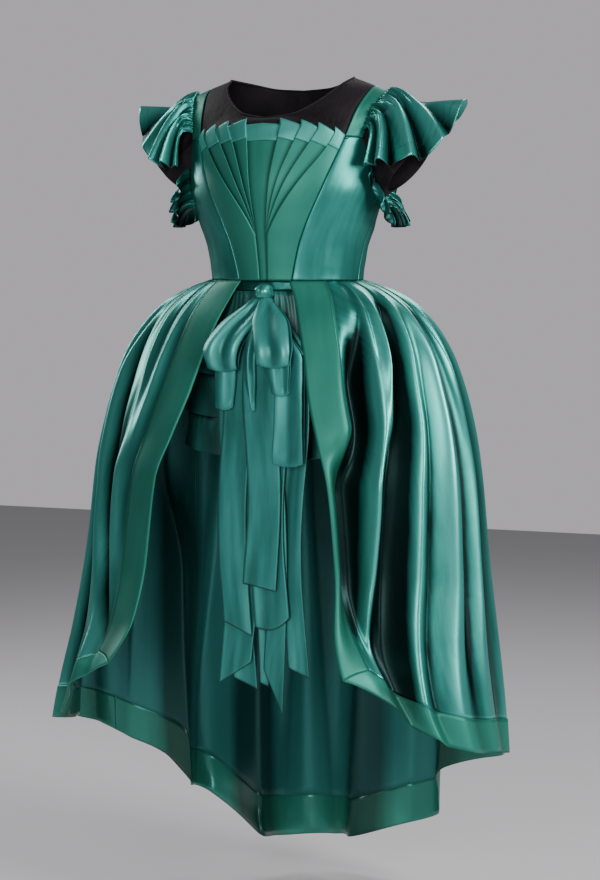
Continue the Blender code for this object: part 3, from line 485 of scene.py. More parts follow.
def cloth_mesh(name, sheets, fold, fold_scale, closed):
    """The mesh of one piece, with its map and the height of its folds."""
    starts = np.cumsum([0] + [len(sheet.points) for sheet in sheets])
    faces = np.concatenate([sheet.faces + start for sheet, start in zip(sheets, starts)])
    mesh = bpy.data.meshes.new(name)
    mesh.from_pydata(np.concatenate([sheet.points for sheet in sheets]).tolist(), [], faces.tolist())
    maps = np.concatenate([sheet.map for sheet in sheets])
    mesh.uv_layers.new(name="cloth").data.foreach_set("uv", maps[faces.reshape(-1)].reshape(-1))
    standing = np.concatenate([sheet.out for sheet in sheets]) if fold is None else fold
    standing = np.zeros(starts[-1]) + np.reshape(standing, -1)
    shade = np.clip(0.5 + 0.5 * standing / fold_scale, 0.0, 1.0).astype(np.float32)
    mesh.attributes.new("fold", "FLOAT", "POINT").data.foreach_set("value", shade)
    if closed:
        bm = bmesh.new()
        bm.from_mesh(mesh)
        bmesh.ops.remove_doubles(bm, verts=bm.verts, dist=SAME_POINT)
        bm.to_mesh(mesh)
        bm.free()
    mesh.shade_smooth()
    return mesh


def add_cloth(name, grids, outside, inside=None, solid=True, held="hung", rests_on=(), outward=from_axis,
              closed=False, wall=CLOTH_WALL, fold_scale=0.004, fold=None, rim_inside=False):
    """One piece of cloth from one or more grids, with its wall, finish, map and place on the body.

    A piece that stands for a solid takes the solid's name with _cloth after it.
    """
    grids = grids if isinstance(grids, list) else [grids]
    sheets = [sheet_data(points, outward, closed) for points in grids]
    mesh = cloth_mesh(f"{name}_cloth" if solid else name, sheets, fold, fold_scale, closed)
    mesh.materials.append(MATERIALS[outside])
    mesh.materials.append(MATERIALS[inside or outside])
    obj = add_object(mesh.name, mesh)
    thickness = obj.modifiers.new("wall", "SOLIDIFY")
    thickness.thickness = wall
    thickness.offset = -1.0
    thickness.material_offset = 1
    thickness.material_offset_rim = 1 if rim_inside else 0
    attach(obj, "root")
    if solid:
        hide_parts(name)


# %% [markdown]
# ## Bodice
# The bodice is cut from shaped panels that meet at the princess, side and centre back seams. Each panel is
# a grid between two seams, from its top edge down to the waist. Fitted satin still pulls a little: short
# slanting wrinkles run from the bust towards the side seam and across the waist.

# %% Sections, top edge and seams of the bodice
WAIST, PRINCESS_TOP, STRAP_FRONT_OUT, SIDE_SEAM_TOP = 0.3566, 50.0, 63.5, 88.0
STRAP_BACK_OUT, STRAP_BACK_IN = 122.6, 136.8
SECTION = "drop half_width front back"
BODICE = curves(
    SECTION,
    (0.000, 0.186, 0.098, 0.085), (0.060, 0.190, 0.115, 0.100), (0.110, 0.191, 0.128, 0.110),
    (0.180, 0.190, 0.140, 0.112), (0.250, 0.172, 0.133, 0.108), (0.300, 0.156, 0.125, 0.103),
    (0.357, 0.148, 0.119, 0.099), (0.400, 0.152, 0.121, 0.102),
)
TOP_EDGE = curves(
    "angle drop",
    (0.0, 0.071), (25.0, 0.077), (PRINCESS_TOP, 0.092), (STRAP_FRONT_OUT, 0.095), (74.0, 0.158),
    (SIDE_SEAM_TOP, 0.212), (104.0, 0.203), (STRAP_BACK_OUT, 0.152), (STRAP_BACK_IN, 0.150), (180.0, 0.150),
)
SEAMS = curves(
    "drop princess side",
    (0.092, PRINCESS_TOP, SIDE_SEAM_TOP), (0.140, 43.0, 88.0), (0.205, 34.0, 88.0), (0.281, 26.0, 86.0),
    (0.357, 20.5, 84.0),
)
SEAM_TOPS = {"princess": PRINCESS_TOP, "side": SIDE_SEAM_TOP, "centre_back": 180.0}


def moved_out(points, lift):
    """Points lifted off the bodice, away from the middle of the body."""
    target = xyz(0.55 * points[..., 0], 0.01, np.minimum(points[..., 2], -0.12))
    return points - unit(target - points) * np.asarray(lift)[..., None]


def bodice_point(angle, drop, shrink=0.0):
    section = BODICE(drop)
    x, y = oval(angle, section.half_width - shrink, section.front - shrink, section.back - shrink)
    return xyz(x, y, -drop)


def top_drop(angle):
    return TOP_EDGE(np.abs(angle)).drop


def seam_shift(seam, v):
    angle = getattr(SEAMS(mix(top_drop(SEAM_TOPS[seam]), WAIST, v)), seam, SEAM_TOPS[seam])
    return angle - SEAM_TOPS[seam]


def panel_point(top_angle, v, first, last):
    across = (top_angle - SEAM_TOPS[first]) / (SEAM_TOPS[last] - SEAM_TOPS[first])
    angle = top_angle + mix(seam_shift(first, v), seam_shift(last, v), across)
    return bodice_point(angle, mix(top_drop(top_angle), WAIST, v))


# %% The side fronts and backs
SIDE_WRINKLES = table(
    CREASE,
    (0.20, 0.30, 0.85, 0.46, 0.030, 0.0010),
    (0.10, 0.60, 0.80, 0.66, 0.030, -0.0008),
    (0.15, 0.90, 0.95, 0.88, 0.018, 0.0008),
)
BACK_WRINKLES = table(
    CREASE,
    (0.10, 0.40, 0.55, 0.46, 0.022, 0.0016),
    (0.20, 0.60, 0.80, 0.64, 0.020, -0.0016),
    (0.15, 0.76, 0.70, 0.80, 0.018, 0.0018),
    (0.40, 0.90, 0.95, 0.93, 0.016, -0.0014),
)
PANELS = table(
    "name first last wrinkles size seed",
    ("side_front", "princess", "side", SIDE_WRINKLES, (0.11, 0.26), 11),
    ("bodice_back", "side", "centre_back", BACK_WRINKLES, (0.25, 0.18), 21),
)
SEAM_DIP, SEAM_DIP_WIDTH, PANEL_RIPPLE = 0.0009, 0.03, 0.0004
for panel in PANELS:
    low, high = SEAM_TOPS[panel.first], SEAM_TOPS[panel.last]
    angle, v = grid(44, 64, across=(low, high))
    u = (angle - low) / (high - low)
    base = panel_point(angle, v, panel.first, panel.last)
    for side_name, side in SIDES:
        ripple = PANEL_RIPPLE * waves(u, v, panel.seed + (side > 0), across=(0.3, 1.2))
        lift = creases(u, v, panel.wrinkles, panel.size) + ripple
        lift -= SEAM_DIP * (bell(u, SEAM_DIP_WIDTH) + bell(1 - u, SEAM_DIP_WIDTH))
        points = mirror(moved_out(base, lift), side)
        add_cloth(f"{panel.name}_{side_name}", points, "satin", "satin_reverse", held="stretched")

# %% [markdown]
# ## Fan panel and its cuffs
# The centre front is one matte panel folded into a fan of nine petals. The middle petal lies lowest and
# runs down to the waist as a narrow strip; each next petal's free edge, the one towards the centre, lies
# over the petal before it. All the edges run together above the waist. Every petal is a grid of its own
# here, with its free edge lifted a little, so that it catches light and shades its neighbour; its colour
# also gets painted light along that edge and painted shadow where the next petal covers it. The head of
# each petal is turned down to the satin side, which makes the row of small slanting cuffs.

# %% The fan's fold lines
FOLD_LINES, FOLD_BEND = (0.20, 0.44, 0.64, 0.85), (0.9, 0.95, 1.1, 1.5)
FOLD_GATHER, STRIP_HALF, STACK_STEP, LAST_FOLD = 0.70, 0.130, 0.005, 0.995
EDGE_LIFT, UNDER_LIFT, PETAL_SWELL, MIDDLE_SWELL = 0.0036, 0.0007, 0.0010, 0.0008
TUCK, OVERRUN, EDGE_LIGHT, COVER_SHADOW, COVER_WIDTH = 0.035, 0.03, 0.0012, 0.0030, 0.045
OUTER_PETAL = len(FOLD_LINES)


def fold_line(k, v):
    """Where fold line k stands between the centre (0) and the princess seam (1)."""
    if k == OUTER_PETAL:
        return np.full(np.shape(v), LAST_FOLD)
    f = np.clip(v / FOLD_GATHER, 0.0, 1.0) ** FOLD_BEND[k]
    return mix(FOLD_LINES[k], STRIP_HALF + STACK_STEP * k, f)


def fan_surface(across, v):
    drop = mix(top_drop(PRINCESS_TOP * across), WAIST, v)
    edge_angle = SEAMS(mix(top_drop(PRINCESS_TOP), WAIST, v)).princess
    return bodice_point(edge_angle * across, drop)


def petal(k, side, top=0.0, bottom=1.0, extra=0.0, columns=16, rows=72):
    """Petal k from its free edge (u = 0) to where it goes under the next one (u = 1); k = 0 is the middle."""
    u, v = grid(columns, rows)
    if k == 0:
        down = mix(top, bottom, v)
        across = mix(-1.0, 1.0, u) * (fold_line(0, down) + TUCK)
        lift = UNDER_LIFT + MIDDLE_SWELL * np.cos(np.pi * (u - 0.5))
    else:
        down = mix(top - extra * (1 - u), bottom - extra * (1 - u) * 0.6, v)
        inner, outer = fold_line(k - 1, down), fold_line(k, down) + TUCK * (k < OUTER_PETAL)
        across = side * mix(inner, outer, u)
        shut = smooth(1.0, 0.985, np.abs(across))
        rise = (EDGE_LIFT - UNDER_LIFT) * (1 - u) ** 1.4
        lift = (UNDER_LIFT + rise + PETAL_SWELL * np.sin(np.pi * u)) * shut
        lift = lift * (1 - 0.4 * smooth(0.55, 1.0, down))
    covered = fold_line(k, down) - np.abs(across)
    # Painted light along the petal's free edge and painted shadow where the next petal's edge lies over it.
    shade = EDGE_LIGHT * (1 - u) - COVER_SHADOW * bell(covered, COVER_WIDTH) * (k < OUTER_PETAL)
    return fan_surface(across, down), lift, shade, u, v


petals, shades = [], []
for k, side in [*((k, side) for side in (-1, 1) for k in range(1, 5)), (0, 1)]:
    base, lift, shade, *_ = petal(k, side, bottom=1.0 if k in (0, OUTER_PETAL) else FOLD_GATHER + OVERRUN)
    petals.append(moved_out(base, lift))
    shades.append(shade)
add_cloth(
    "front_fan", petals, "matte", held="folded", wall=THIN_WALL, fold_scale=0.003,
    fold=np.concatenate(shades, axis=None),
)

# %% The nine cuffs
CUFF_RISE, CUFF_SLANT, CUFF_DEPTH = 0.008, 0.036, 0.100
CUFF_OFF, CUFF_ROLL, CUFF_RIPPLE = 0.0009, 0.0011, 0.0003
cuffs = [(k, -1) for k in range(4, 0, -1)] + [(0, 1)] + [(k, 1) for k in range(1, 5)]
for number, (k, side) in enumerate(cuffs, start=1):
    base, lift, _, u, v = petal(k, side, -CUFF_RISE, CUFF_DEPTH, CUFF_SLANT, columns=14, rows=14)
    rolled = CUFF_ROLL * np.sin(np.pi * np.clip(v, 0, 1)) ** 0.35 + CUFF_OFF
    soft = CUFF_RIPPLE * waves(u, v, seed=40 + number, across=(0.3, 1))
    add_cloth(
        f"fan_cuff_{number}", moved_out(base, lift + rolled + soft), "cuff_satin", held="folded",
        rests_on=("front_fan_cloth",), wall=THIN_WALL,
    )

# %% [markdown]
# ## Straps, yoke and sleeves
# The straps are matte bands, cut long and pressed, each edge finished with a narrow fold. Under them shows
# the yoke of a thin black mesh with short set-in sleeves. It is crushed all over in fine uneven crinkles,
# tucked under the satin's edges and bound at the neck with a narrow strip of its own cloth.

# %% Straps
STRAP_CLEAR = 0.0005
STRAP_ENDS = [
    bodice_point(angle, top_drop(angle) - STRAP_CLEAR)
    for angle in (PRINCESS_TOP, STRAP_FRONT_OUT, STRAP_BACK_IN, STRAP_BACK_OUT)
]
STRAP = curves(
    "v x_in y_in z_in x_out y_out z_out",
    (0.00, *STRAP_ENDS[0], *STRAP_ENDS[1]),
    (0.25, 0.156, -0.042, -0.038, 0.183, -0.032, -0.047),
    (0.50, 0.168, 0.022, 0.004, 0.199, 0.024, -0.008),
    (0.75, 0.156, 0.075, -0.062, 0.184, 0.068, -0.070),
    (1.00, *STRAP_ENDS[2], *STRAP_ENDS[3]),
)
STRAP_OFF, STRAP_EDGE, STRAP_EDGE_HEIGHT, STRAP_RIPPLE = 0.0004, 0.06, 0.0008, 0.0005


def strap_point(w, v):
    """w runs from the neck side to the arm side, v from the front over the shoulder to the back."""
    row = STRAP(v)
    neck_side, arm_side = xyz(row.x_in, row.y_in, row.z_in), xyz(row.x_out, row.y_out, row.z_out)
    return mix(neck_side, arm_side, np.asarray(w)[..., None])


for side_name, side in SIDES:
    w, v = grid(18, 64)
    rim = bell(np.minimum(w, 1 - w) - STRAP_EDGE, STRAP_EDGE, 4)
    ripple = STRAP_RIPPLE * waves(w, v, 50 + side, across=(0.5, 1), along=(2, 9))
    lift = STRAP_OFF + STRAP_EDGE_HEIGHT * rim + ripple
    add_cloth(f"strap_{side_name}", mirror(moved_out(strap_point(w, v), lift), side), "matte")

# %% Yoke, front and back, tucked under the bodice and straps
NECK = {
    "front": curves(
        "c x y z",
        (0.00, 0.000, -0.103, -0.059), (0.35, 0.048, -0.093, -0.051), (0.60, 0.088, -0.063, -0.026),
        (0.85, 0.117, -0.016, 0.007), (1.00, 0.125, 0.022, 0.020),
    ),
    "back": curves(
        "c x y z",
        (0.00, 0.000, 0.082, 0.000), (0.35, 0.050, 0.077, 0.003), (0.65, 0.092, 0.060, 0.012),
        (1.00, 0.125, 0.022, 0.020),
    ),
}
YOKE_CORNER = {"front": 0.5, "back": 0.4}
YOKE_TUCKED, YOKE_SWELL, YOKE_TUCK_DEPTH, CRINKLE = (1.05, 1.10), 0.006, 0.0035, 0.0005


def neck_point(c, part):
    row = NECK[part](np.abs(c))
    return xyz(np.copysign(row.x, c), row.y, row.z)


def yoke_edge(c, part):
    """The yoke's lower edge, c from -1 at the right shoulder through 0 at the centre to 1."""
    away, corner, front = np.abs(c), YOKE_CORNER[part], part == "front"
    low = np.minimum(away / corner, 1.0)
    angle = PRINCESS_TOP * low if front else 180.0 - (180.0 - STRAP_BACK_IN) * low
    strap = np.clip((away - corner) / (1 - corner), 0, 1) * 0.5
    on_strap = strap_point(np.zeros_like(strap), strap if front else 1 - strap)
    half = np.where((away <= corner)[..., None], bodice_point(angle, top_drop(angle)), on_strap)
    return half * xyz(np.where(c < 0, -1.0, 1.0), 1.0, 1.0)


def crinkle(u, v, seed):
    """Crushed mesh: short sharp ridges that run mostly down the cloth."""
    field = waves(u, v, seed, count=9, across=(6, 26), along=(0.5, 6))
    return CRINKLE * (1 - 2 * np.abs(np.clip(field, -1, 1)))


for part, seed in (("front", 61), ("back", 62)):
    c, v = np.meshgrid(np.linspace(-1, 1, 150), [*np.linspace(0, 1, 28), *YOKE_TUCKED])
    base = mix(neck_point(c, part), yoke_edge(c, part), v[..., None])
    swell = YOKE_SWELL * np.sin(np.pi * np.clip(v, 0, 1)) * (1 - c * c)
    swell = swell - YOKE_TUCK_DEPTH * smooth(0.90, 1.0, v)
    points = moved_out(base, swell + crinkle(c, v, seed) * smooth(0, 0.1, v))
    add_cloth(f"yoke_{part}", points, "black_mesh", wall=MESH_WALL, fold_scale=MESH_FOLDS)

# %% The neck's binding
BINDING_RADIUS, BINDING_ROUND, BINDING_WALL, BINDING_FOLDS = 0.0021, 1.7, 0.0005, 0.01
c, along = grid(120, 8, across=(-1, 1))
turn = BINDING_ROUND * np.pi * along[..., None]
side_by, up_by = BINDING_RADIUS * np.sin(turn), BINDING_RADIUS * np.cos(turn)
for part in NECK:
    line = neck_point(c[0], part)
    side_way = unit(line * np.array((1.0, 1.0, 0.0)))
    tube = line[None] + side_way[None] * side_by + np.array((0.0, 0.0, 1.0)) * up_by
    add_cloth(
        f"neck_binding_{part}", tube, "black_mesh", solid=False, held="folded", wall=BINDING_WALL,
        outward=lambda points: points, fold_scale=BINDING_FOLDS,
    )

# %% Short sleeves
HEM_CENTRE, HEM_RADIUS = np.array((0.240, 0.005, -0.150)), 0.056
SLEEVE_AXIS = unit(np.array((0.75, 0.0, -0.66)))
SLEEVE_UP = unit(np.array((0.0, 0.0, 1.0)) - SLEEVE_AXIS * SLEEVE_AXIS[2])
SLEEVE_FRONT = np.cross(SLEEVE_AXIS, SLEEVE_UP)
OVER_SHOULDER, ARMHOLE_W, ARMHOLE_V, BELOW_HEM, CRINKLES_ROUND = 200.0 / 360.0, 0.97, 0.02, 0.02, 1.5
SLEEVE_TUCK, SLEEVE_SWELL, HEM_UNEVEN, TURN_START = -0.003, 0.008, 0.002, 100.0


def sleeve_root(around):
    """The armhole: over the shoulder beside the strap, then under the arm along the bodice's edge."""
    over = strap_point(np.full_like(around, ARMHOLE_W), np.clip(around / OVER_SHOULDER, 0, 1))
    share = np.clip((around - OVER_SHOULDER) / (1 - OVER_SHOULDER), 0, 1)
    angle = mix(STRAP_BACK_OUT, STRAP_FRONT_OUT, share)
    behind = panel_point(angle, ARMHOLE_V, "side", "centre_back")
    before = panel_point(angle, ARMHOLE_V, "princess", "side")
    under = np.where((angle >= SIDE_SEAM_TOP)[..., None], behind, before)
    return np.where((around <= OVER_SHOULDER)[..., None], over, under)


for side_name, side in SIDES:
    around, v = grid(121, 28, closed=True)
    turn = np.radians(TURN_START - 360.0 * around)
    rim = SLEEVE_UP * np.cos(turn)[..., None] + SLEEVE_FRONT * np.sin(turn)[..., None]
    radius = HEM_RADIUS + HEM_UNEVEN * waves(around, v, 70 + side, across=(2, 5))
    hem = HEM_CENTRE + rim * radius[..., None]
    points = mix(moved_out(sleeve_root(around), SLEEVE_TUCK), hem, v[..., None])
    swell = SLEEVE_SWELL * np.sin(np.pi * v) * np.maximum(np.cos(turn), 0)
    swell = swell + crinkle(around * CRINKLES_ROUND, v, 75 + side)
    points = mirror(points + rim * swell[..., None], side)
    add_cloth(
        f"sleeve_{side_name}", points, "black_mesh", closed=True, wall=MESH_WALL, fold_scale=MESH_FOLDS,
        outward=lambda p, side=side: p - mirror(HEM_CENTRE - BELOW_HEM * SLEEVE_UP, side),
    )

# %% [markdown]
# ## Flutter ruffles
# A ruffle is a curved strip, much longer on its free edge, gathered on the strap. Tight small gathers at
# the seam join two by two and then run into a few broad cones. The wide ruffle stands off the shoulder on
# its own stiffness, and a narrow one hangs round the armhole below it.

# %% The wide upper ruffles
UPPER_EDGE = curves(
    "g x y z",
    (0.00, 0.186, -0.090, -0.146), (0.15, 0.215, -0.099, -0.142), (0.30, 0.256, -0.086, -0.140),
    (0.45, 0.297, -0.052, -0.126), (0.60, 0.326, -0.010, -0.088), (0.75, 0.342, 0.042, -0.034),
    (0.88, 0.306, 0.104, -0.052), (1.00, 0.240, 0.130, -0.100),
)
CONES = table(
    "g width height reach",
    (0.030, 0.025, 0.010, 1.0), (0.095, 0.026, -0.014, 0.9), (0.175, 0.036, 0.020, 1.1),
    (0.255, 0.026, -0.020, 0.8), (0.345, 0.044, 0.022, 1.2), (0.435, 0.030, -0.022, 0.9),
    (0.530, 0.042, 0.012, 1.2), (0.600, 0.030, -0.005, 0.7), (0.720, 0.110, 0.012, 1.2),
    (0.900, 0.040, -0.005, 1.0), (0.955, 0.030, 0.010, 1.0),
)
UPPER_ROOT, UPPER_LIFT, UPPER_SWELL_FRONT, UPPER_SWELL_BACK = 0.86, 0.0024, 0.026, 0.012
UPPER_SPREAD = {"left": (0.98, 0.98), "right": (0.62, 0.88)}
SMALL_GATHERS, SMALL_HEIGHT, SMALL_REACH = 30, 0.0022, 0.17
JOINED_GATHERS, JOINED_HEIGHT, JOINED_AT, JOINED_REACH = 15, 0.0028, 0.20, 0.15
STITCH_ROW, STITCH_DIP, STITCH_WIDTH, CONE_WANDER = 0.875, 0.0008, 0.012, 0.012
SWELL_WAY = unit(np.array((0.45, 0.0, 0.9)))


def upper_base(g, e):
    """The ruffle without its folds; g runs along the strap, e from the strap to the free edge."""
    root = moved_out(strap_point(np.full_like(g, UPPER_ROOT), mix(0.05, 0.93, g)), UPPER_LIFT)
    row = UPPER_EDGE(g)
    at = mix(root, xyz(row.x, row.y, row.z), e[..., None])
    swell = mix(UPPER_SWELL_FRONT, UPPER_SWELL_BACK, smooth(0.35, 0.75, g)) * np.sin(np.pi * e**0.8)
    return at + SWELL_WAY * swell[..., None]


def upper_ruffle(side_name, side):
    g, e = grid(250, 38)
    seed, lean = 80 + side, 0.010 if side > 0 else -0.006
    base = upper_base(g, e)
    place = g + CONE_WANDER * waves(g, 0.3 * e, seed, across=(1, 3), along=(0.2, 0.8))
    middles = [cone.g + lean * np.sin(40 * cone.g) for cone in CONES]
    wave = sum(
        cone.height * e**cone.reach * bell(place - middle, cone.width, SHARP)
        for cone, middle in zip(CONES, middles)
    )
    tight = 0.9 * waves(g, e, seed + 1, across=(1, 4), along=(0.1, 0.5))
    tight = np.sin(2 * np.pi * (SMALL_GATHERS * g + tight))
    joined = np.sin(2 * np.pi * (JOINED_GATHERS * g + 0.9 * waves(g, 0.6 * e, seed + 2, across=(1, 4))))
    uneven = 1 + 0.5 * waves(g, e, seed + 3, across=(2, 6))
    small = SMALL_HEIGHT * bell(e, SMALL_REACH, 1.5) * (1 + tight) * uneven
    small += JOINED_HEIGHT * bell(e - JOINED_AT, JOINED_REACH) * joined * uneven
    stitch_dip = STITCH_DIP * bell(e - STITCH_ROW, STITCH_WIDTH)
    points = base + normals_towards(base, 2) * (wave + small - stitch_dip)[..., None]
    spread = mix(*UPPER_SPREAD[side_name], smooth(0.3, 0.8, g))
    root_x = float(strap_point(np.array(UPPER_ROOT), 0.5)[0])
    points[..., 0] += (spread - 1.0) * np.maximum(points[..., 0] - root_x, 0.0)
    return mirror(points, side)


def up_and_out(side):
    return lambda points: np.broadcast_to((0.4 * side, 0.0, 1.0), points.shape)


UPPER_RUFFLES = {side_name: upper_ruffle(side_name, side) for side_name, side in SIDES}
for side_name, side in SIDES:
    add_cloth(
        f"ruffle_upper_{side_name}", UPPER_RUFFLES[side_name], "satin", outward=up_and_out(side),
        rests_on=(f"strap_{side_name}_cloth",), fold_scale=0.011,
    )

# %% The narrow lower ruffles
LOWER_LIFT, LOWER_REACH, LOWER_FALL, LOWER_TURN = 0.0012, 0.041, 0.042, 74.0
LOWER_FROM, LOWER_TO, LOWER_WAVES, LOWER_GATHERS = 71.0, 119.0, 11, 26
LOWER_HEIGHT, LOWER_CURL, LOWER_GATHER_HEIGHT, LOWER_TOP = 0.0085, 0.0060, 0.0014, 0.006


def lower_ruffle(seed):
    g, e = grid(180, 18)
    angle = mix(LOWER_FROM, LOWER_TO, g)
    root = moved_out(bodice_point(angle, top_drop(angle) + LOWER_TOP), LOWER_LIFT)
    turn = np.radians(mix(-LOWER_TURN, LOWER_TURN, g))
    full = np.sin(np.pi * mix(0.13, 0.87, g)) ** 0.6
    out = xyz(np.cos(turn), np.sin(turn), 0)
    base = root + out * (LOWER_REACH * full * np.sin(0.5 * np.pi * e))[..., None]
    base = base + xyz(0, 0, -LOWER_FALL * full * (1 - np.cos(0.5 * np.pi * e)))
    swing = 2 * np.pi * (LOWER_WAVES * g + 0.35 * waves(g, 0, seed, across=(1, 4)))
    wave = LOWER_HEIGHT * e**0.9 * (np.sin(swing) + 0.4) * (1 + 0.3 * waves(g, e, seed + 1, across=(1, 3)))
    curl = LOWER_CURL * e**0.9 * np.cos(swing)
    fine = 1 + np.sin(2 * np.pi * LOWER_GATHERS * g + waves(g, e, seed))
    fine = LOWER_GATHER_HEIGHT * bell(e, 0.4) * fine
    sideways = unit(np.gradient(base, axis=1))
    return base + normals_towards(base, 0) * (wave + fine)[..., None] + sideways * curl[..., None]


for side_name, side in SIDES:
    add_cloth(
        f"ruffle_lower_{side_name}", mirror(lower_ruffle(90 + side), side), "satin",
        outward=up_and_out(side), rests_on=(f"side_front_{side_name}_cloth",), fold_scale=0.009,
    )

# %% [markdown]
# ## Waistband and tiered shorts
# The shorts are dark satin in three tiers. Each tier is a strip gathered into the seam above it, so its top
# is full of small folds and its free edge stands over the next tier. All three tiers of a leg are sewn
# together before the leg is closed, so they make one piece here.

# %% Waistband
WAISTBAND_TOP, WAISTBAND_END, BAND_SHRINK = 0.3572, 0.3760, 0.0026
WAISTBAND_SHADE, WAISTBAND_PULL = 0.0018, 0.0005
angle, drop = grid(241, 5, across=(0, 360), down=(WAISTBAND_TOP, WAISTBAND_END), closed=True)
points = bodice_point(angle, np.minimum(drop, WAIST), BAND_SHRINK)
points[..., 2] = -drop
down = (drop - WAISTBAND_TOP) / 0.02
pulled = WAISTBAND_PULL * waves(angle / 360, down, 101, across=(8, 40), along=(0.2, 1))
add_cloth(
    "waistband", moved_out(points, pulled), "satin", closed=True, held="stretched", fold=-WAISTBAND_SHADE
)

# %% Shorts, one leg to a piece
SHORTS = curves(
    SECTION,
    (0.3764, 0.1454, 0.1164, 0.0964), (0.4100, 0.1580, 0.1190, 0.1080), (0.4600, 0.1760, 0.1230, 0.1240),
    (0.5200, 0.1880, 0.1260, 0.1340), (0.5800, 0.1910, 0.1260, 0.1300), (0.7000, 0.1910, 0.1260, 0.1250),
)
SHORTS_TOP, CROTCH_START, CROTCH, LEG_CENTRE, LEG_HALF_WIDTH = 0.3764, 0.505, 0.618, 0.100, 0.0945
LEG_FRONT, LEG_BACK, LEG_HEM, LEG_HEM_RISE, TIER_FLARE = 0.100, 0.104, 0.700, 0.032, 0.009
TIER_ENDS, UNDER_TIER_SHADOW, TIER_TUCK, TIER_SUNK = (0.0, 0.50, 0.77, 1.0), 0.0050, 0.02, 0.0045
GATHER, GATHERS, TIER_FOLD, SEAM_GAP, LEG_GAP = 0.0011, 34, 0.0030, 0.0008, 0.0004


def shorts_surface(u, v):
    """Points and inward directions; u runs from the front seam round the outside to the back seam."""
    drop = mix(SHORTS_TOP, LEG_HEM - LEG_HEM_RISE * np.sin(np.pi * u) ** 2, v)
    section = SHORTS(drop)
    hip_x, hip_y = oval(180.0 * u, section.half_width, section.front, section.back)
    turn = 2 * np.pi * u
    leg_x = LEG_CENTRE - LEG_HALF_WIDTH * np.cos(turn)
    leg_y = -np.where(np.sin(turn) > 0, LEG_FRONT, LEG_BACK) * np.sin(turn)
    share = smooth(CROTCH_START, CROTCH, drop)
    at = xyz(mix(hip_x, leg_x, share) + LEG_GAP, mix(hip_y, leg_y, share), -drop)
    target = xyz(mix(0.55 * at[..., 0], LEG_CENTRE, share), 0.005, at[..., 2])
    return at, unit(target - at), share


def shorts_tier(number, seed):
    first, last = TIER_ENDS[number], TIER_ENDS[number + 1]
    u, v = grid(190, 18, (SEAM_GAP, 1 - SEAM_GAP), (first - TIER_TUCK * (number > 0), last + 0.004))
    at, inward, share = shorts_surface(u, v)
    f = np.clip((v - first) / (last - first), 0, 1)
    ease = np.where(share > 0, np.maximum(np.sin(np.pi * u), 0) ** 0.5, 1.0)
    fine = GATHER * bell(f, 0.35) * (1 + np.sin(2 * np.pi * (GATHERS * u + 0.6 * waves(u, f, seed))))
    broad = TIER_FOLD * f * waves(u, 0.4 * f, seed + 1, across=(5, 13), along=(0.1, 0.5))
    hidden = TIER_SUNK * (1 - smooth(first - TIER_TUCK, first + 0.012, v)) * (number > 0)
    calm = broad * smooth(0.0, 0.03, u) * smooth(0.0, 0.03, 1 - u)
    lift = (TIER_FLARE * f**1.5 + fine + calm) * ease - hidden
    # Painted shade and light from the gathers' and folds' height, and a painted shadow across each lower
    # tier's top, under the edge of the tier above.
    shade = 0.6 * (fine - GATHER) + broad - UNDER_TIER_SHADOW * bell(f, 0.10) * (number > 0)
    return at - inward * lift[..., None], shade


def out_of_leg(side):
    centre = np.array((side * LEG_CENTRE * 0.6, 0.005, 0.0))
    return lambda points: (points - centre) * np.array((1.0, 1.0, 0.0))


for side_name, side in SIDES:
    tiers, shades = zip(*(shorts_tier(k, 110 + 3 * k + side) for k in range(3)))
    add_cloth(
        f"shorts_{side_name}", [mirror(tier, side) for tier in tiers], "shorts_satin", "satin_reverse",
        outward=out_of_leg(side), fold=np.concatenate(shades),
    )

# %% [markdown]
# ## Overskirt
# The overskirt is six gores gathered into the waist, with a matte band down each front edge and round the
# hem. One surface shapes gores and bands alike, so their edges meet: a place on it is a share s of the way
# round from the right front edge over the back to the left one, and a share t of the way down.
#
# Folds give satin its look, and they aren't evenly spaced. Near the front they are placed one by one from the
# photo, each a line down the skirt with its own width and height. Round the back, which the photo doesn't
# show, folds of the same kind wander down from the waist from a fixed seed.

# %% Rings, train and pleats
SKIRT = curves(
    "t edge_angle half_width front back drop_front drop_side drop_back",
    (0.00, 18.8, 0.1482, 0.1192, 0.0992, 0.3572, 0.3572, 0.3572),
    (0.04, 19.0, 0.188, 0.130, 0.132, 0.3840, 0.3700, 0.3660),
    (0.10, 19.2, 0.240, 0.155, 0.178, 0.4300, 0.4000, 0.3920),
    (0.17, 19.8, 0.284, 0.176, 0.212, 0.4870, 0.4500, 0.4400),
    (0.255, 20.5, 0.322, 0.198, 0.240, 0.5500, 0.5150, 0.5200),
    (0.37, 23.5, 0.356, 0.228, 0.266, 0.6400, 0.6200, 0.6500),
    (0.48, 26.8, 0.375, 0.248, 0.286, 0.7220, 0.7200, 0.7800),
    (0.665, 28.2, 0.395, 0.247, 0.310, 0.8730, 0.8950, 1.0050),
    (0.80, 28.8, 0.412, 0.275, 0.326, 0.9830, 1.0250, 1.1900),
    (0.90, 32.0, 0.427, 0.318, 0.340, 1.0530, 1.1300, 1.3500),
    (1.00, 37.8, 0.441, 0.350, 0.352, 1.1200, 1.2250, 1.5250),
)
TRAIN = curves(
    "round_back lowered",
    (0.00, 0.00), (0.08, 0.11), (0.15, 0.26), (0.183, 0.35), (0.205, 0.52), (0.28, 0.66), (0.36, 0.90),
    (0.44, 1.00), (0.51, 0.94), (0.64, 0.75), (0.70, 0.44), (0.77, 0.25), (1.00, 0.00),
)
SKIRT_SWAY, BAND_WIDTH, PLEATS = 0.018, 0.062, 24
CORNER_RISE, CORNER_WIDTH, HEM_CURL = 0.085, 0.10, 0.028
TURNED_MOVE, TURNED_DEPTH, VALLEY_DEPTH = 0.52, 0.050, 0.060
WAIST_RIPPLE, RIPPLE_SHARE, RIPPLE_INSET, KNIFE_DEPTH, FINE_UNEVEN = 0.0035, 0.16, 0.22, 0.0045, 0.0012


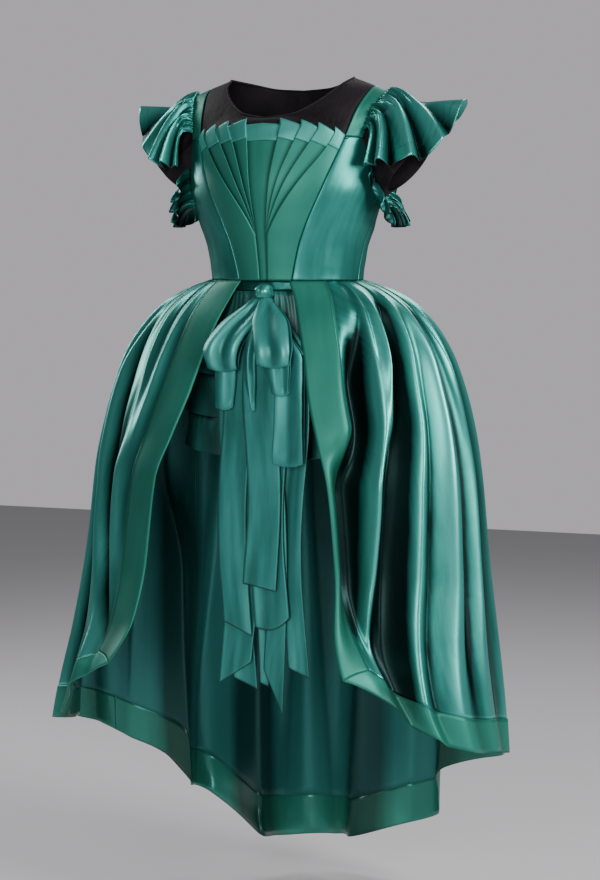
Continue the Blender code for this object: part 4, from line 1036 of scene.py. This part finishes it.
def ring_length(t):
    """Length round the skirt at t, edge to edge, without its pleats."""
    ring = SKIRT(t)
    angles = np.linspace(-ring.edge_angle, ring.edge_angle - 360.0, 25)
    x, y = oval(angles, ring.half_width, ring.front, ring.back)
    return float(np.hypot(np.diff(x), np.diff(y)).sum())


band_steps = np.linspace(0, 1, 240)
band_table = np.array([BAND_WIDTH / ring_length(t) for t in band_steps])


def band_share(t):
    return np.interp(t, band_steps, band_table)


def beside_bands(p, t):
    """The place s of a place p, which runs from 0 at the right front band to 1 at the left one."""
    share = band_share(t)
    return mix(share, 1 - share, p)


def place_between(s, t):
    """The place p of a place s: the same the other way."""
    band = band_share(t)
    return (s - band) / (1 - 2 * band)


def pleat_count(p):
    def uneven(q):
        return PLEATS * q + 0.30 * np.sin(9.0 * q) + 0.16 * np.sin(23.0 * q + 1.0)

    return PLEATS * (uneven(p) - uneven(0.0)) / (uneven(1.0) - uneven(0.0))


def pleat_body(t):
    return 0.022 * smooth(0.02, 0.5, t) + 0.009 * smooth(0.5, 1.0, t)


def soft_pleats(p, t):
    """The even ripple of the solids, lower here, because single folds take most of its place."""
    wave = 0.5 - 0.5 * np.cos(2 * np.pi * pleat_count(p))
    uneven = 1 + 0.28 * np.sin(11.0 * p + 0.6) + 0.16 * np.sin(29.0 * p + 2.0)
    waist = WAIST_RIPPLE * (1 - smooth(0.0, 0.25, t))
    inset = RIPPLE_INSET * pleat_body(t) * smooth(0.0, 0.3, t)
    return (waist + RIPPLE_SHARE * pleat_body(t) * uneven) * wave - inset


DEEP_FOLDS = table(
    "p width depth",
    (0.30, 0.030, -0.060), (0.365, 0.022, 0.050), (0.405, 0.020, -0.085), (0.47, 0.030, 0.045),
    (0.53, 0.022, -0.050), (0.59, 0.026, 0.045), (0.65, 0.022, -0.060), (0.71, 0.028, 0.035),
)


def deep_fold(p, t):
    return smooth(0.45, 1.0, t) * sum(fold.depth * bell(p - fold.p, fold.width) for fold in DEEP_FOLDS)


# %% Folds listed one by one, and wandering ones round the back
# Each fold passes three places (t, p). Its two sides have their own widths, so one can be sharper.
DRAPE = "t0 p0 t1 p1 t2 p2 end before after height"
FRONT_DRAPES = table(
    DRAPE,
    (0.06, 0.950, 0.40, 0.961, 0.83, 0.981, 1.10, 0.007, 0.006, 0.025),
    (0.08, 0.900, 0.35, 0.927, 0.80, 0.956, 1.15, 0.023, 0.015, -0.054),
    (0.06, 0.925, 0.20, 0.937, 0.34, 0.942, 0.50, 0.010, 0.010, 0.022),
    (0.05, 0.880, 0.35, 0.906, 0.80, 0.938, 1.30, 0.008, 0.006, 0.026),
    (0.14, 0.870, 0.40, 0.893, 0.80, 0.922, 1.10, 0.006, 0.005, -0.007),
    (0.06, 0.852, 0.40, 0.874, 0.80, 0.898, 1.30, 0.018, 0.014, 0.017),
    (0.04, 0.826, 0.35, 0.848, 0.80, 0.870, 1.05, 0.007, 0.009, -0.011),
    (0.02, 0.800, 0.35, 0.822, 0.80, 0.846, 1.30, 0.014, 0.009, 0.012),
    (0.05, 0.772, 0.40, 0.785, 0.80, 0.798, 1.30, 0.010, 0.012, -0.010),
    (0.02, 0.748, 0.40, 0.748, 0.80, 0.754, 1.30, 0.014, 0.009, 0.013),
    (0.05, 0.722, 0.40, 0.715, 0.80, 0.718, 1.30, 0.010, 0.012, -0.012),
    (0.03, 0.017, 0.18, 0.016, 0.34, 0.013, 0.55, 0.008, 0.008, 0.009),
    (0.03, 0.062, 0.18, 0.047, 0.34, 0.036, 0.50, 0.008, 0.008, 0.007),
    (0.30, 0.030, 0.55, 0.026, 0.78, 0.014, 1.20, 0.012, 0.013, 0.011),
    (0.26, 0.048, 0.42, 0.052, 0.70, 0.040, 0.90, 0.008, 0.007, -0.010),
    (0.10, 0.110, 0.50, 0.062, 0.81, 0.014, 1.30, 0.010, 0.006, -0.020),
    (0.10, 0.123, 0.50, 0.077, 0.81, 0.028, 1.30, 0.006, 0.018, 0.016),
    (0.05, 0.140, 0.45, 0.112, 0.80, 0.086, 1.30, 0.007, 0.008, -0.014),
    (0.04, 0.152, 0.40, 0.130, 0.80, 0.108, 1.30, 0.007, 0.012, 0.016),
    (0.04, 0.172, 0.40, 0.158, 0.80, 0.146, 1.30, 0.010, 0.010, -0.016),
    (0.06, 0.196, 0.40, 0.190, 0.80, 0.186, 1.30, 0.010, 0.014, 0.016),
    (0.50, 0.290, 0.75, 0.294, 1.00, 0.298, 9.00, 0.006, 0.030, -0.045),
)


def wandering_drapes(first, last, count, seed):
    """Ridges and hollows by turns, spaced unevenly, some of them running into their neighbours."""
    rng = np.random.default_rng(seed)
    places = np.linspace(first, last, count) + rng.uniform(-0.3, 0.3, count) * (last - first) / count
    rows = []
    for k, place in enumerate(places):
        drift, widths = rng.uniform(-0.012, 0.012, 2), rng.uniform(0.007, 0.015, 2)
        rows.append((
            rng.uniform(0.0, 0.15), place, 0.45, place + drift[0], 0.9, place + drift[1],
            rng.uniform(0.8, 1.4), *widths, (1 if k % 2 else -1) * rng.uniform(0.008, 0.020),
        ))
    return table(DRAPE, *rows)


DRAPES = [*FRONT_DRAPES, *wandering_drapes(0.222, 0.700, 32, seed=7)]


def draped(p, t):
    total = np.zeros(np.broadcast(p, t).shape)
    for row in DRAPES:
        curve = np.polyfit((row.t0, row.t1, row.t2), (row.p0, row.p1, row.p2), 2)
        off = p - np.polyval(curve, np.clip(t, row.t0, row.t2 + 0.15))
        width = np.where(off < 0, row.before, row.after) * (0.75 + 0.35 * smooth(0.0, 0.4, t) + 0.2 * t)
        grow = smooth(row.t0 - 0.04, row.t0 + 0.18, t) * (1 - smooth(row.end - 0.3, row.end, t))
        total += row.height * grow * bell(off, width, SHARP)
    return total


def knife_pleats(p, t):
    """Flat pleats pressed at the waist: each rises slowly, then drops under the next one."""
    beat = pleat_count(p) % 1.0
    away = np.where(p > 0.5, beat, 1 - beat)
    return KNIFE_DEPTH * (1 - smooth(0.02, 0.22, t)) * (away**1.2 * smooth(1.0, 0.88, away) - 0.4)


# %% The overskirt's surface
def skirt_out(p, t):
    """How far the folds stand out of the plain rings."""
    calm, gentle = fade_ends(p, 0.0, 0.035), fade_ends(p, -0.006, 0.018)
    out = soft_pleats(p, t) * calm + deep_fold(p, t) + draped(p, t) * gentle
    out = out + knife_pleats(p, t) * smooth(0.0, 0.004, t) * gentle
    out = out - HEM_CURL * bell(p - 0.40, 0.05) * smooth(0.955, 1.0, t) ** 2
    return out + FINE_UNEVEN * waves(p, t, 132, across=(8, 30), along=(0.5, 3.0)) * smooth(0.05, 0.3, t)


def turned_edge(s, t):
    """Beside the left front band runs a valley, and half way down the band turns into it, half edge on."""
    band = band_share(t)
    widths = (1 - s) / band
    turned = smooth(0.34, 0.50, t) * (1 - smooth(0.70, 0.92, t))
    moved = TURNED_MOVE * turned * band * smooth(0.0, 1.0, widths) * (1 - smooth(1.0, 5.0, widths))
    valley = smooth(0.08, 0.28, t) * (1 - smooth(0.80, 0.97, t))
    sunk = (VALLEY_DEPTH - TURNED_DEPTH * turned) * valley * bell(widths - 1.62, 0.42, 2.2)
    sunk = sunk + TURNED_DEPTH * turned * smooth(0.0, 1.1, widths) * (1 - smooth(1.2, 2.1, widths))
    return moved, sunk


def skirt_fold(p, t):
    """Height of a place over the cloth to its two sides and over the plain rings: painted shade in hollows,
    painted light on ridges.
    """
    sides = sum(skirt_out(p + shift, t) for shift in (-0.030, -0.014, 0.014, 0.030)) / 4
    sunk = turned_edge(beside_bands(p, t), t)[1]
    return 0.75 * (skirt_out(p, t) - sides) + 0.35 * draped(p, t) - 0.5 * sunk


def skirt_point(s, t, lift=0.0):
    """s runs from the right front edge round the back to the left front edge, t from the waist down.

    Both front corners are rounded: near them the cloth ends a little higher than its rings do.
    """
    near_corner = 1 - smooth(0.0, CORNER_WIDTH, np.minimum(s, 1 - s))
    t = t - CORNER_RISE * near_corner * smooth(0.70, 1.0, t)
    ring = SKIRT(t)
    moved, sunk = turned_edge(s, t)
    angle = mix(-ring.edge_angle, ring.edge_angle - 360.0, s + moved)
    x, y = oval(angle, ring.half_width, ring.front, ring.back)
    to_front = np.cos(np.radians(angle))
    share = np.clip(to_front / np.cos(np.radians(ring.edge_angle)), 0.0, 1.0)
    front_drop = mix(ring.drop_side, ring.drop_front, share**2)
    lowered = TRAIN(np.clip((-angle - 90.0) / 180.0, 0, 1)).lowered
    drop = np.where(to_front > 0, front_drop, mix(ring.drop_side, ring.drop_back, lowered))
    out = skirt_out(place_between(s, t), t) - sunk + lift
    radius = np.hypot(x, y)
    return xyz(x * (1 + out / radius) - SKIRT_SWAY * t * t, y * (1 + out / radius), -drop)


# %% Where the hem band starts, and where one piece ends and the next begins
HEM_LENGTHS = ((0.0, 0.84), (0.22, 0.97), (0.46, 1.28), (0.78, 0.97), (1.0, 0.84))
fine_places = np.linspace(0, 1, 20001)
fine_count = pleat_count(fine_places)


def hem_share(p):
    """Where the hem band starts along the skirt's length."""
    length = np.full(np.shape(p), HEM_LENGTHS[0][1])
    for (low, from_length), (high, to_length) in zip(HEM_LENGTHS, HEM_LENGTHS[1:]):
        length = np.where(p >= low, mix(from_length, to_length, smooth(low, high, p)), length)
    return 1 - BAND_WIDTH / length


def piece_ends(k, pieces):
    """The places p where piece k starts and ends, each with the same number of pleats."""
    return np.interp([PLEATS / pieces * k, PLEATS / pieces * (k + 1)], fine_count, fine_places)


def away_from_middle(points):
    return points * np.array((1.0, 1.0, 0.0))


# %% Six gores
GORES, HEM_PIECES, TUCKED_UNDER, BAND_LIFT, MITRE_SPREAD = 6, 4, 0.003, 0.0013, 0.06
for k in range(GORES):
    low, high = piece_ends(k, GORES)
    low, high = low - TUCKED_UNDER * (k == 0), high + TUCKED_UNDER * (k == GORES - 1)
    p, r = grid(120, 100, across=(low, high), down=(0, 1.002))
    t = r * hem_share(p)
    add_cloth(
        f"skirt_gore_{k + 1}", skirt_point(beside_bands(p, t), t), "satin", "satin_reverse",
        outward=away_from_middle, fold_scale=0.013, fold=skirt_fold(p, t), rim_inside=True,
    )

# %% The hem band in four lengths, its ends mitred, and the two front bands
BAND = {"outward": away_from_middle, "wall": BAND_WALL, "fold_scale": 0.020}
for k in range(HEM_PIECES):
    p, w = grid(150, 9, across=piece_ends(k, HEM_PIECES))
    t = mix(hem_share(p), 1.0, w)
    near = (1 - smooth(0.0, MITRE_SPREAD, 1 - p)) - (1 - smooth(0.0, MITRE_SPREAD, p))
    points = skirt_point(beside_bands(p, t) + band_share(t) * w * near, t, BAND_LIFT)
    add_cloth(f"hem_band_{k + 1}", points, "matte", "hem_inside", fold=skirt_fold(p, t), **BAND)
for side_name, turned in (("right", False), ("left", True)):
    q, r = grid(12, 150)
    t = r * mix(1.0, hem_share(0.0), q)
    s = 1 - q * band_share(t) if turned else q * band_share(t)
    points = skirt_point(s, t, BAND_LIFT)
    fold = skirt_fold(place_between(s, t), t)
    add_cloth(f"front_band_{side_name}", points, "matte", "satin_reverse", fold=fold, **BAND)

# %% [markdown]
# ## Ribbon bow
# The bow is tied from strips torn and cut from the same satin: a small tight knot, loops that stand out
# from it and tails of many lengths, some almost square, some slanted, one pointed. The ribbons lie in
# layers, so each has its own depth; they leave the knot gathered to a fifth of their width and open as
# they fall.

# %% Layers under the knot
KNOT_BACK, KNOT_SIZE = 0.1180, np.array((0.034, 0.042, 0.030))
KNOT_CENTRE = np.array((0.010, -KNOT_BACK - 0.5 * KNOT_SIZE[1], -0.3765))
HANG_TOP = -KNOT_CENTRE[2] + 0.5 * KNOT_SIZE[2] - 0.004
SETTLED, FIRST_LAYER, LAYER = HANG_TOP + 0.11, -KNOT_BACK - 0.012, 0.0021
HANG_FIRST, HANG_LAYER, TOP_GATHER, OPENED = -0.143, 0.0050, 0.20, HANG_TOP + 0.060


def layer_y(packed, layer, drop):
    at_knot = FIRST_LAYER - packed * LAYER
    return mix(at_knot, HANG_FIRST - layer * HANG_LAYER, smooth(HANG_TOP, SETTLED, drop))


# %% Eight tails
TAILS = table(
    "layer top_x end_x end_drop half_width sway slant point",
    (0, -0.002, -0.033, 1.107, 0.024, 0.010, 0.010, 0.0),
    (1, -0.002, -0.040, 1.087, 0.033, -0.010, -0.022, 0.0),
    (2, -0.002, -0.043, 1.003, 0.029, 0.008, 0.012, 0.0),
    (0, 0.017, 0.008, 1.107, 0.008, 0.004, 0.004, 0.0),
    (1, 0.017, 0.076, 1.080, 0.021, 0.010, 0.010, 0.0),
    (2, 0.017, 0.036, 1.118, 0.019, -0.006, 0.042, 0.0),
    (3, 0.017, 0.029, 0.986, 0.034, 0.008, -0.010, 0.014),
    (4, 0.017, 0.013, 0.922, 0.033, -0.006, 0.006, 0.0),
)
TAIL_RIPPLE, TAIL_PINCH = 0.0024, 0.0022
tail_grids = []
for number, tail in enumerate(TAILS, start=1):
    u, v = grid(16, 120, across=(-1, 1))
    drop = mix(HANG_TOP, tail.end_drop, v)
    settle, opened = (smooth(HANG_TOP, end, drop) for end in (SETTLED, OPENED))
    x = mix(tail.top_x, tail.end_x, settle)
    x = x + tail.sway * np.sin(2.2 * np.pi * v) * smooth(0.1, 0.4, v)
    x = x + u * tail.half_width * mix(TOP_GATHER, 1.0, opened)
    ripple = TAIL_RIPPLE * waves(0.5 * u, v, 140 + number, across=(0.3, 1.1), along=(0.4, 1.6)) * settle
    pinch = TAIL_PINCH * (1 - settle) * np.cos(3 * np.pi * u)
    y = layer_y(tail.layer, tail.layer, drop) - ripple * (0.35 + 0.65 * np.abs(u)) - pinch
    cut = tail.slant * u * smooth(0.75, 1.0, v) + tail.point * (1 - u * u) * smooth(0.9, 1.0, v)
    tail_grids.append(xyz(x, y, -drop - cut))
    add_cloth(
        f"bow_tail_{number}", tail_grids[-1], "ribbon", wall=THIN_WALL, fold_scale=0.0016,
        outward=lambda points: np.broadcast_to((0.0, -1.0, 0.0), points.shape),
    )

# %% Six loops
# From "front" on, the columns say how far the front half puffs out, how the loop leans, the ridges along
# it, how late it turns aside and how much it narrows.
LOOPS = table(
    "packed layer top_x mid_x end_drop half_width spread front lean ridges phase height turn taper",
    (3.0, 3.5, -0.002, -0.062, 0.590, 0.021, 1.0, 0.006, 0.004, 0.45, 0.10, 0.0030, 1.4, 0.15),
    (4.7, 6.3, -0.002, -0.058, 0.518, 0.036, 1.4, 0.013, -0.004, 0.75, 0.42, 0.0050, 0.7, 0.15),
    (5.0, 5.5, 0.017, 0.070, 0.690, 0.028, 1.0, 0.007, 0.004, 0.50, 0.55, 0.0040, 2.2, -0.10),
    (7.2, 8.3, 0.017, 0.060, 0.560, 0.023, 1.0, 0.007, -0.004, 0.60, 0.20, 0.0035, 1.2, 0.25),
    (9.4, 11.1, 0.017, 0.052, 0.508, 0.035, 1.4, 0.013, 0.002, 0.70, 0.50, 0.0042, 0.7, 0.08),
    (5.0, 5.5, 0.006, 0.000, 0.590, 0.011, 1.0, 0.005, -0.006, 0.60, 0.00, 0.0030, 1.0, 0.60),
)


def loop_layers(loop, drop, facing):
    return layer_y(loop.packed + 0.75 * facing, loop.layer + 0.5 * loop.spread * facing, drop)


def out_of_loop(loop):
    """Away from the loop's own hollow: forward on its front half, back on its rear half."""
    return lambda points: xyz(0.0, points[..., 1] - loop_layers(loop, -points[..., 2], 0.0), 0.0)


for number, loop in enumerate(LOOPS, start=1):
    u, v = grid(30, 120, across=(-1, 1))
    swing = np.maximum(np.sin(np.pi * v), 0)
    drop = mix(HANG_TOP, loop.end_drop, swing)
    opened = smooth(HANG_TOP - 0.012, OPENED - 0.012, drop)
    settle = smooth(HANG_TOP, SETTLED, drop)
    facing = np.cos(np.pi * np.clip((v - 0.40) / 0.20, 0, 1))
    down = np.clip((drop - HANG_TOP) / (loop.end_drop - HANG_TOP), 0, 1)
    belly = np.sin(np.pi * down**1.3)
    taper = 1 - loop.taper * smooth(0.72, 1.0, down)
    x = mix(loop.top_x, loop.mid_x, settle**loop.turn) + loop.lean * belly
    x = x + u * loop.half_width * mix(TOP_GATHER, 1.0, opened) * taper
    uneven = 0.06 * waves(0.3 * u, v, 160 + number, across=(0.2, 0.8))
    ridges = loop.height * np.cos(2 * np.pi * (loop.ridges * u + loop.phase + uneven))
    ridges = ridges * smooth(0.0, 0.35, swing) * (1 - 0.5 * smooth(0.9, 1.0, swing))
    puff = loop.front * belly * (1 - 0.5 * u * u)
    y = loop_layers(loop, drop, facing) - (puff + ridges) * np.maximum(facing, 0.0) ** 0.5
    y = y + 0.3 * puff * np.maximum(-facing, 0.0) ** 0.5
    slope = 0.006 * (1 - u * u) * smooth(0.6, 1.0, down) - 0.10 * loop.lean * u * down
    add_cloth(
        f"bow_loop_{number}", xyz(x, y, -drop - slope), "ribbon", "satin_reverse",
        outward=out_of_loop(loop), wall=THIN_WALL, fold_scale=0.0030,
    )

# %% Knot
turn, along = grid(73, 32, across=(0, 360), down=(-1, 1), closed=True)
rounded = np.sqrt(np.maximum(1 - np.abs(along) ** 2.6, 0.02))
squared = 1 + 0.10 * np.abs(np.sin(2 * np.radians(turn)))
wrap = 1 + 0.06 * np.cos(2 * np.pi * (0.9 * along + 0.30 * np.sin(np.radians(turn) + 0.8))) * rounded
wrap += 0.03 * waves(turn / 360, along, 180, across=(2, 5), along=(0.3, 1.2))
x = 0.42 * KNOT_SIZE[0] * squared * np.cos(np.radians(turn)) * rounded * wrap
y = 0.5 * KNOT_SIZE[1] * squared * np.sin(np.radians(turn)) * rounded * wrap
add_cloth(
    "bow_knot", xyz(x, y, 0.5 * KNOT_SIZE[2] * along) + KNOT_CENTRE, "satin", closed=True, held="folded",
    wall=THIN_WALL, outward=lambda points: points - KNOT_CENTRE, fold_scale=0.0016,
)

# %% [markdown]
# ## Stitches and raw edges
# Small things that repeat are made by geometry nodes. One tree lays short stitches along a line of points,
# one stitch at each step, turned to follow the line; it sews the skirt's bands and the upper ruffles.
# A second tree grows fine loose threads along the edges of the bow's tails, each with its own lean.

# %% What both trees share
def even_steps(tree, lines, step):
    """Curves through the lines, with a point at each step."""
    curve = add_node(tree, "GeometryNodeMeshToCurve", {"Mesh": lines}).outputs["Curve"]
    even = add_node(tree, "GeometryNodeResampleCurve", {"Curve": curve, "Length": step}, mode="LENGTH")
    return even.outputs["Curve"]


def copies_on(tree, curve, copy, **turned):
    """A copy on each point of a curve, as real geometry."""
    spots = add_node(tree, "GeometryNodeCurveToPoints", {"Curve": curve}, mode="EVALUATED").outputs["Points"]
    lay = add_node(tree, "GeometryNodeInstanceOnPoints", {"Points": spots, "Instance": copy, **turned})
    return add_node(tree, "GeometryNodeRealizeInstances", {"Geometry": lay.outputs["Instances"]}).outputs[0]


def end_tree(tree, geometry, material):
    paint = add_node(tree, "GeometryNodeSetMaterial", {"Geometry": geometry, "Material": material})
    add_node(tree, "NodeGroupOutput", {"Geometry": paint.outputs["Geometry"]})


def run_tree(name, tree, lines, values, material):
    """Run a tree on lines of points and keep the result as a plain mesh."""
    starts = np.cumsum([0] + [len(line) for line in lines])
    ends = zip(starts[:-1].tolist(), starts[1:].tolist())
    edges = [(k, k + 1) for first, last in ends for k in range(first, last - 1)]
    mesh = bpy.data.meshes.new(name + "_line")
    mesh.from_pydata(np.concatenate(lines).tolist(), edges, [])
    carrier = add_object(mesh.name, mesh)
    modifier = carrier.modifiers.new("tree", "NODES")
    modifier.node_group = tree
    sockets = {item.name: item.identifier for item in tree.interface.items_tree if item.in_out == "INPUT"}
    for label, value in {**values, "Material": MATERIALS[material]}.items():
        modifier[sockets[label]] = value
    bpy.context.view_layer.update()
    made = bpy.data.meshes.new_from_object(carrier.evaluated_get(bpy.context.evaluated_depsgraph_get()))
    bpy.data.objects.remove(carrier, do_unlink=True)
    obj = add_object(name, made)
    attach(obj, "root")
    print(f"{name}: {len(made.polygons)} faces from {len(lines)} lines")


# %% A tree that lays stitches along a line
stitches, stitch_in = new_tree("Geometry", "stitches along a line", {
    "Geometry": "Geometry", "Step": 0.004, "Length": 0.0026, "Radius": 0.0003, "Material": "Material",
}, ("Geometry",))
one_stitch = add_node(stitches, "GeometryNodeMeshCylinder", {
    "Vertices": 5, "Depth": stitch_in["Length"], "Radius": stitch_in["Radius"],
}, fill_type="NONE").outputs["Mesh"]
capture = add_node(stitches, "GeometryNodeCaptureAttribute", domain="POINT")
capture.capture_items.new("VECTOR", "Tangent")
tangent = add_node(stitches, "GeometryNodeInputTangent").outputs["Tangent"]
stitches.links.new(even_steps(stitches, stitch_in["Geometry"], stitch_in["Step"]), capture.inputs["Geometry"])
stitches.links.new(tangent, capture.inputs["Tangent"])
along_line = add_node(
    stitches, "FunctionNodeAlignRotationToVector", {"Vector": capture.outputs["Tangent"]}, axis="Z"
).outputs["Rotation"]
sewn = copies_on(stitches, capture.outputs["Geometry"], one_stitch, Rotation=along_line)
end_tree(stitches, sewn, stitch_in["Material"])

# %% Where the stitches run
PROUD, OVER_CLOTH, BAND_SEAMS = 0.0015, np.array((0.0, 0.0, 0.0006)), (0.0025, 0.0050)
SKIRT_STITCH = {"Step": 0.0042, "Length": 0.0030, "Radius": 0.00028}
RUFFLE_STITCH = {"Step": 0.0034, "Length": 0.0024, "Radius": 0.00025}


def skirt_line(s, t):
    """A line on the skirt, moved a little out of the cloth, so that its thread lies on the band."""
    line = skirt_point(s, t)
    return line + unit(line * np.array((1.0, 1.0, 0.0))) * PROUD


seam_lines = []
for turned in (False, True):
    t = np.linspace(0.004, hem_share(0.0) - 0.002, 500)
    for offset in reversed(BAND_SEAMS):
        s = band_share(t) * (1 - offset / BAND_WIDTH)
        seam_lines.append(skirt_line(1 - s if turned else s, t))
p = np.linspace(0.0, 1.0, 2600)
for offset in BAND_SEAMS:
    t = hem_share(p) + offset / 0.95
    seam_lines.append(skirt_line(beside_bands(p, t), t))
run_tree("skirt_stitches", stitches, seam_lines, SKIRT_STITCH, "seam_thread")
ruffle_lines = [points[int(STITCH_ROW * (len(points) - 1))] + OVER_CLOTH for points in UPPER_RUFFLES.values()]
run_tree("ruffle_stitches", stitches, ruffle_lines, RUFFLE_STITCH, "seam_thread")

# %% [markdown]
# The ribbons are cut, not hemmed, and their edges fray. A thin cord of the edge's threads follows each
# tail's two long edges and its end, and fine grey threads start on it and lean their own ways, so that
# the edge reads as a soft dark line.

# %% A tree that frays an edge
STRAND_TIP, CORD_RADIUS = 0.00004, 0.00045
fraying, fray_in = new_tree("Geometry", "frayed edge", {
    "Geometry": "Geometry", "Spacing": 0.0016, "Length": 0.003, "Radius": 0.00012, "Seed": 3,
    "Material": "Material",
}, ("Geometry",))
edge = even_steps(fraying, fray_in["Geometry"], fray_in["Spacing"])
strand = add_node(fraying, "GeometryNodeMeshCone", {
    "Vertices": 3, "Radius Top": STRAND_TIP, "Depth": fray_in["Length"], "Radius Bottom": fray_in["Radius"],
}, fill_type="NONE").outputs["Mesh"]
turn_by = add_node(fraying, "FunctionNodeRandomValue", {
    "Min": (0.0, 0.0, 0.0), "Max": (math.tau, math.tau, math.tau), "Seed": fray_in["Seed"],
}, data_type="FLOAT_VECTOR")
scale_by = add_node(fraying, "FunctionNodeRandomValue", {
    "Min": 0.3, "Max": 1.0, "Seed": fray_in["Seed"],
}, data_type="FLOAT")
threads = copies_on(fraying, edge, strand, Rotation=turn_by.outputs["Value"], Scale=scale_by.outputs[1])
profile = add_node(fraying, "GeometryNodeCurvePrimitiveCircle", {"Resolution": 4, "Radius": CORD_RADIUS})
cord = add_node(
    fraying, "GeometryNodeCurveToMesh", {"Curve": edge, "Profile Curve": profile.outputs["Curve"]}
).outputs["Mesh"]
both = add_node(fraying, "GeometryNodeJoinGeometry")
for part in (threads, cord):
    fraying.links.new(part, both.inputs["Geometry"])
end_tree(fraying, both.outputs["Geometry"], fray_in["Material"])

# %% Fray the long edges and the cut end of each tail
FRAY = {"Spacing": 0.0022, "Length": 0.0028, "Radius": 0.00014, "Seed": 3}
cut_edges = [np.concatenate([points[:, 0], points[-1, 1:-1], points[::-1, -1]]) for points in tail_grids]
run_tree("ribbon_threads", fraying, cut_edges, FRAY, "thread")
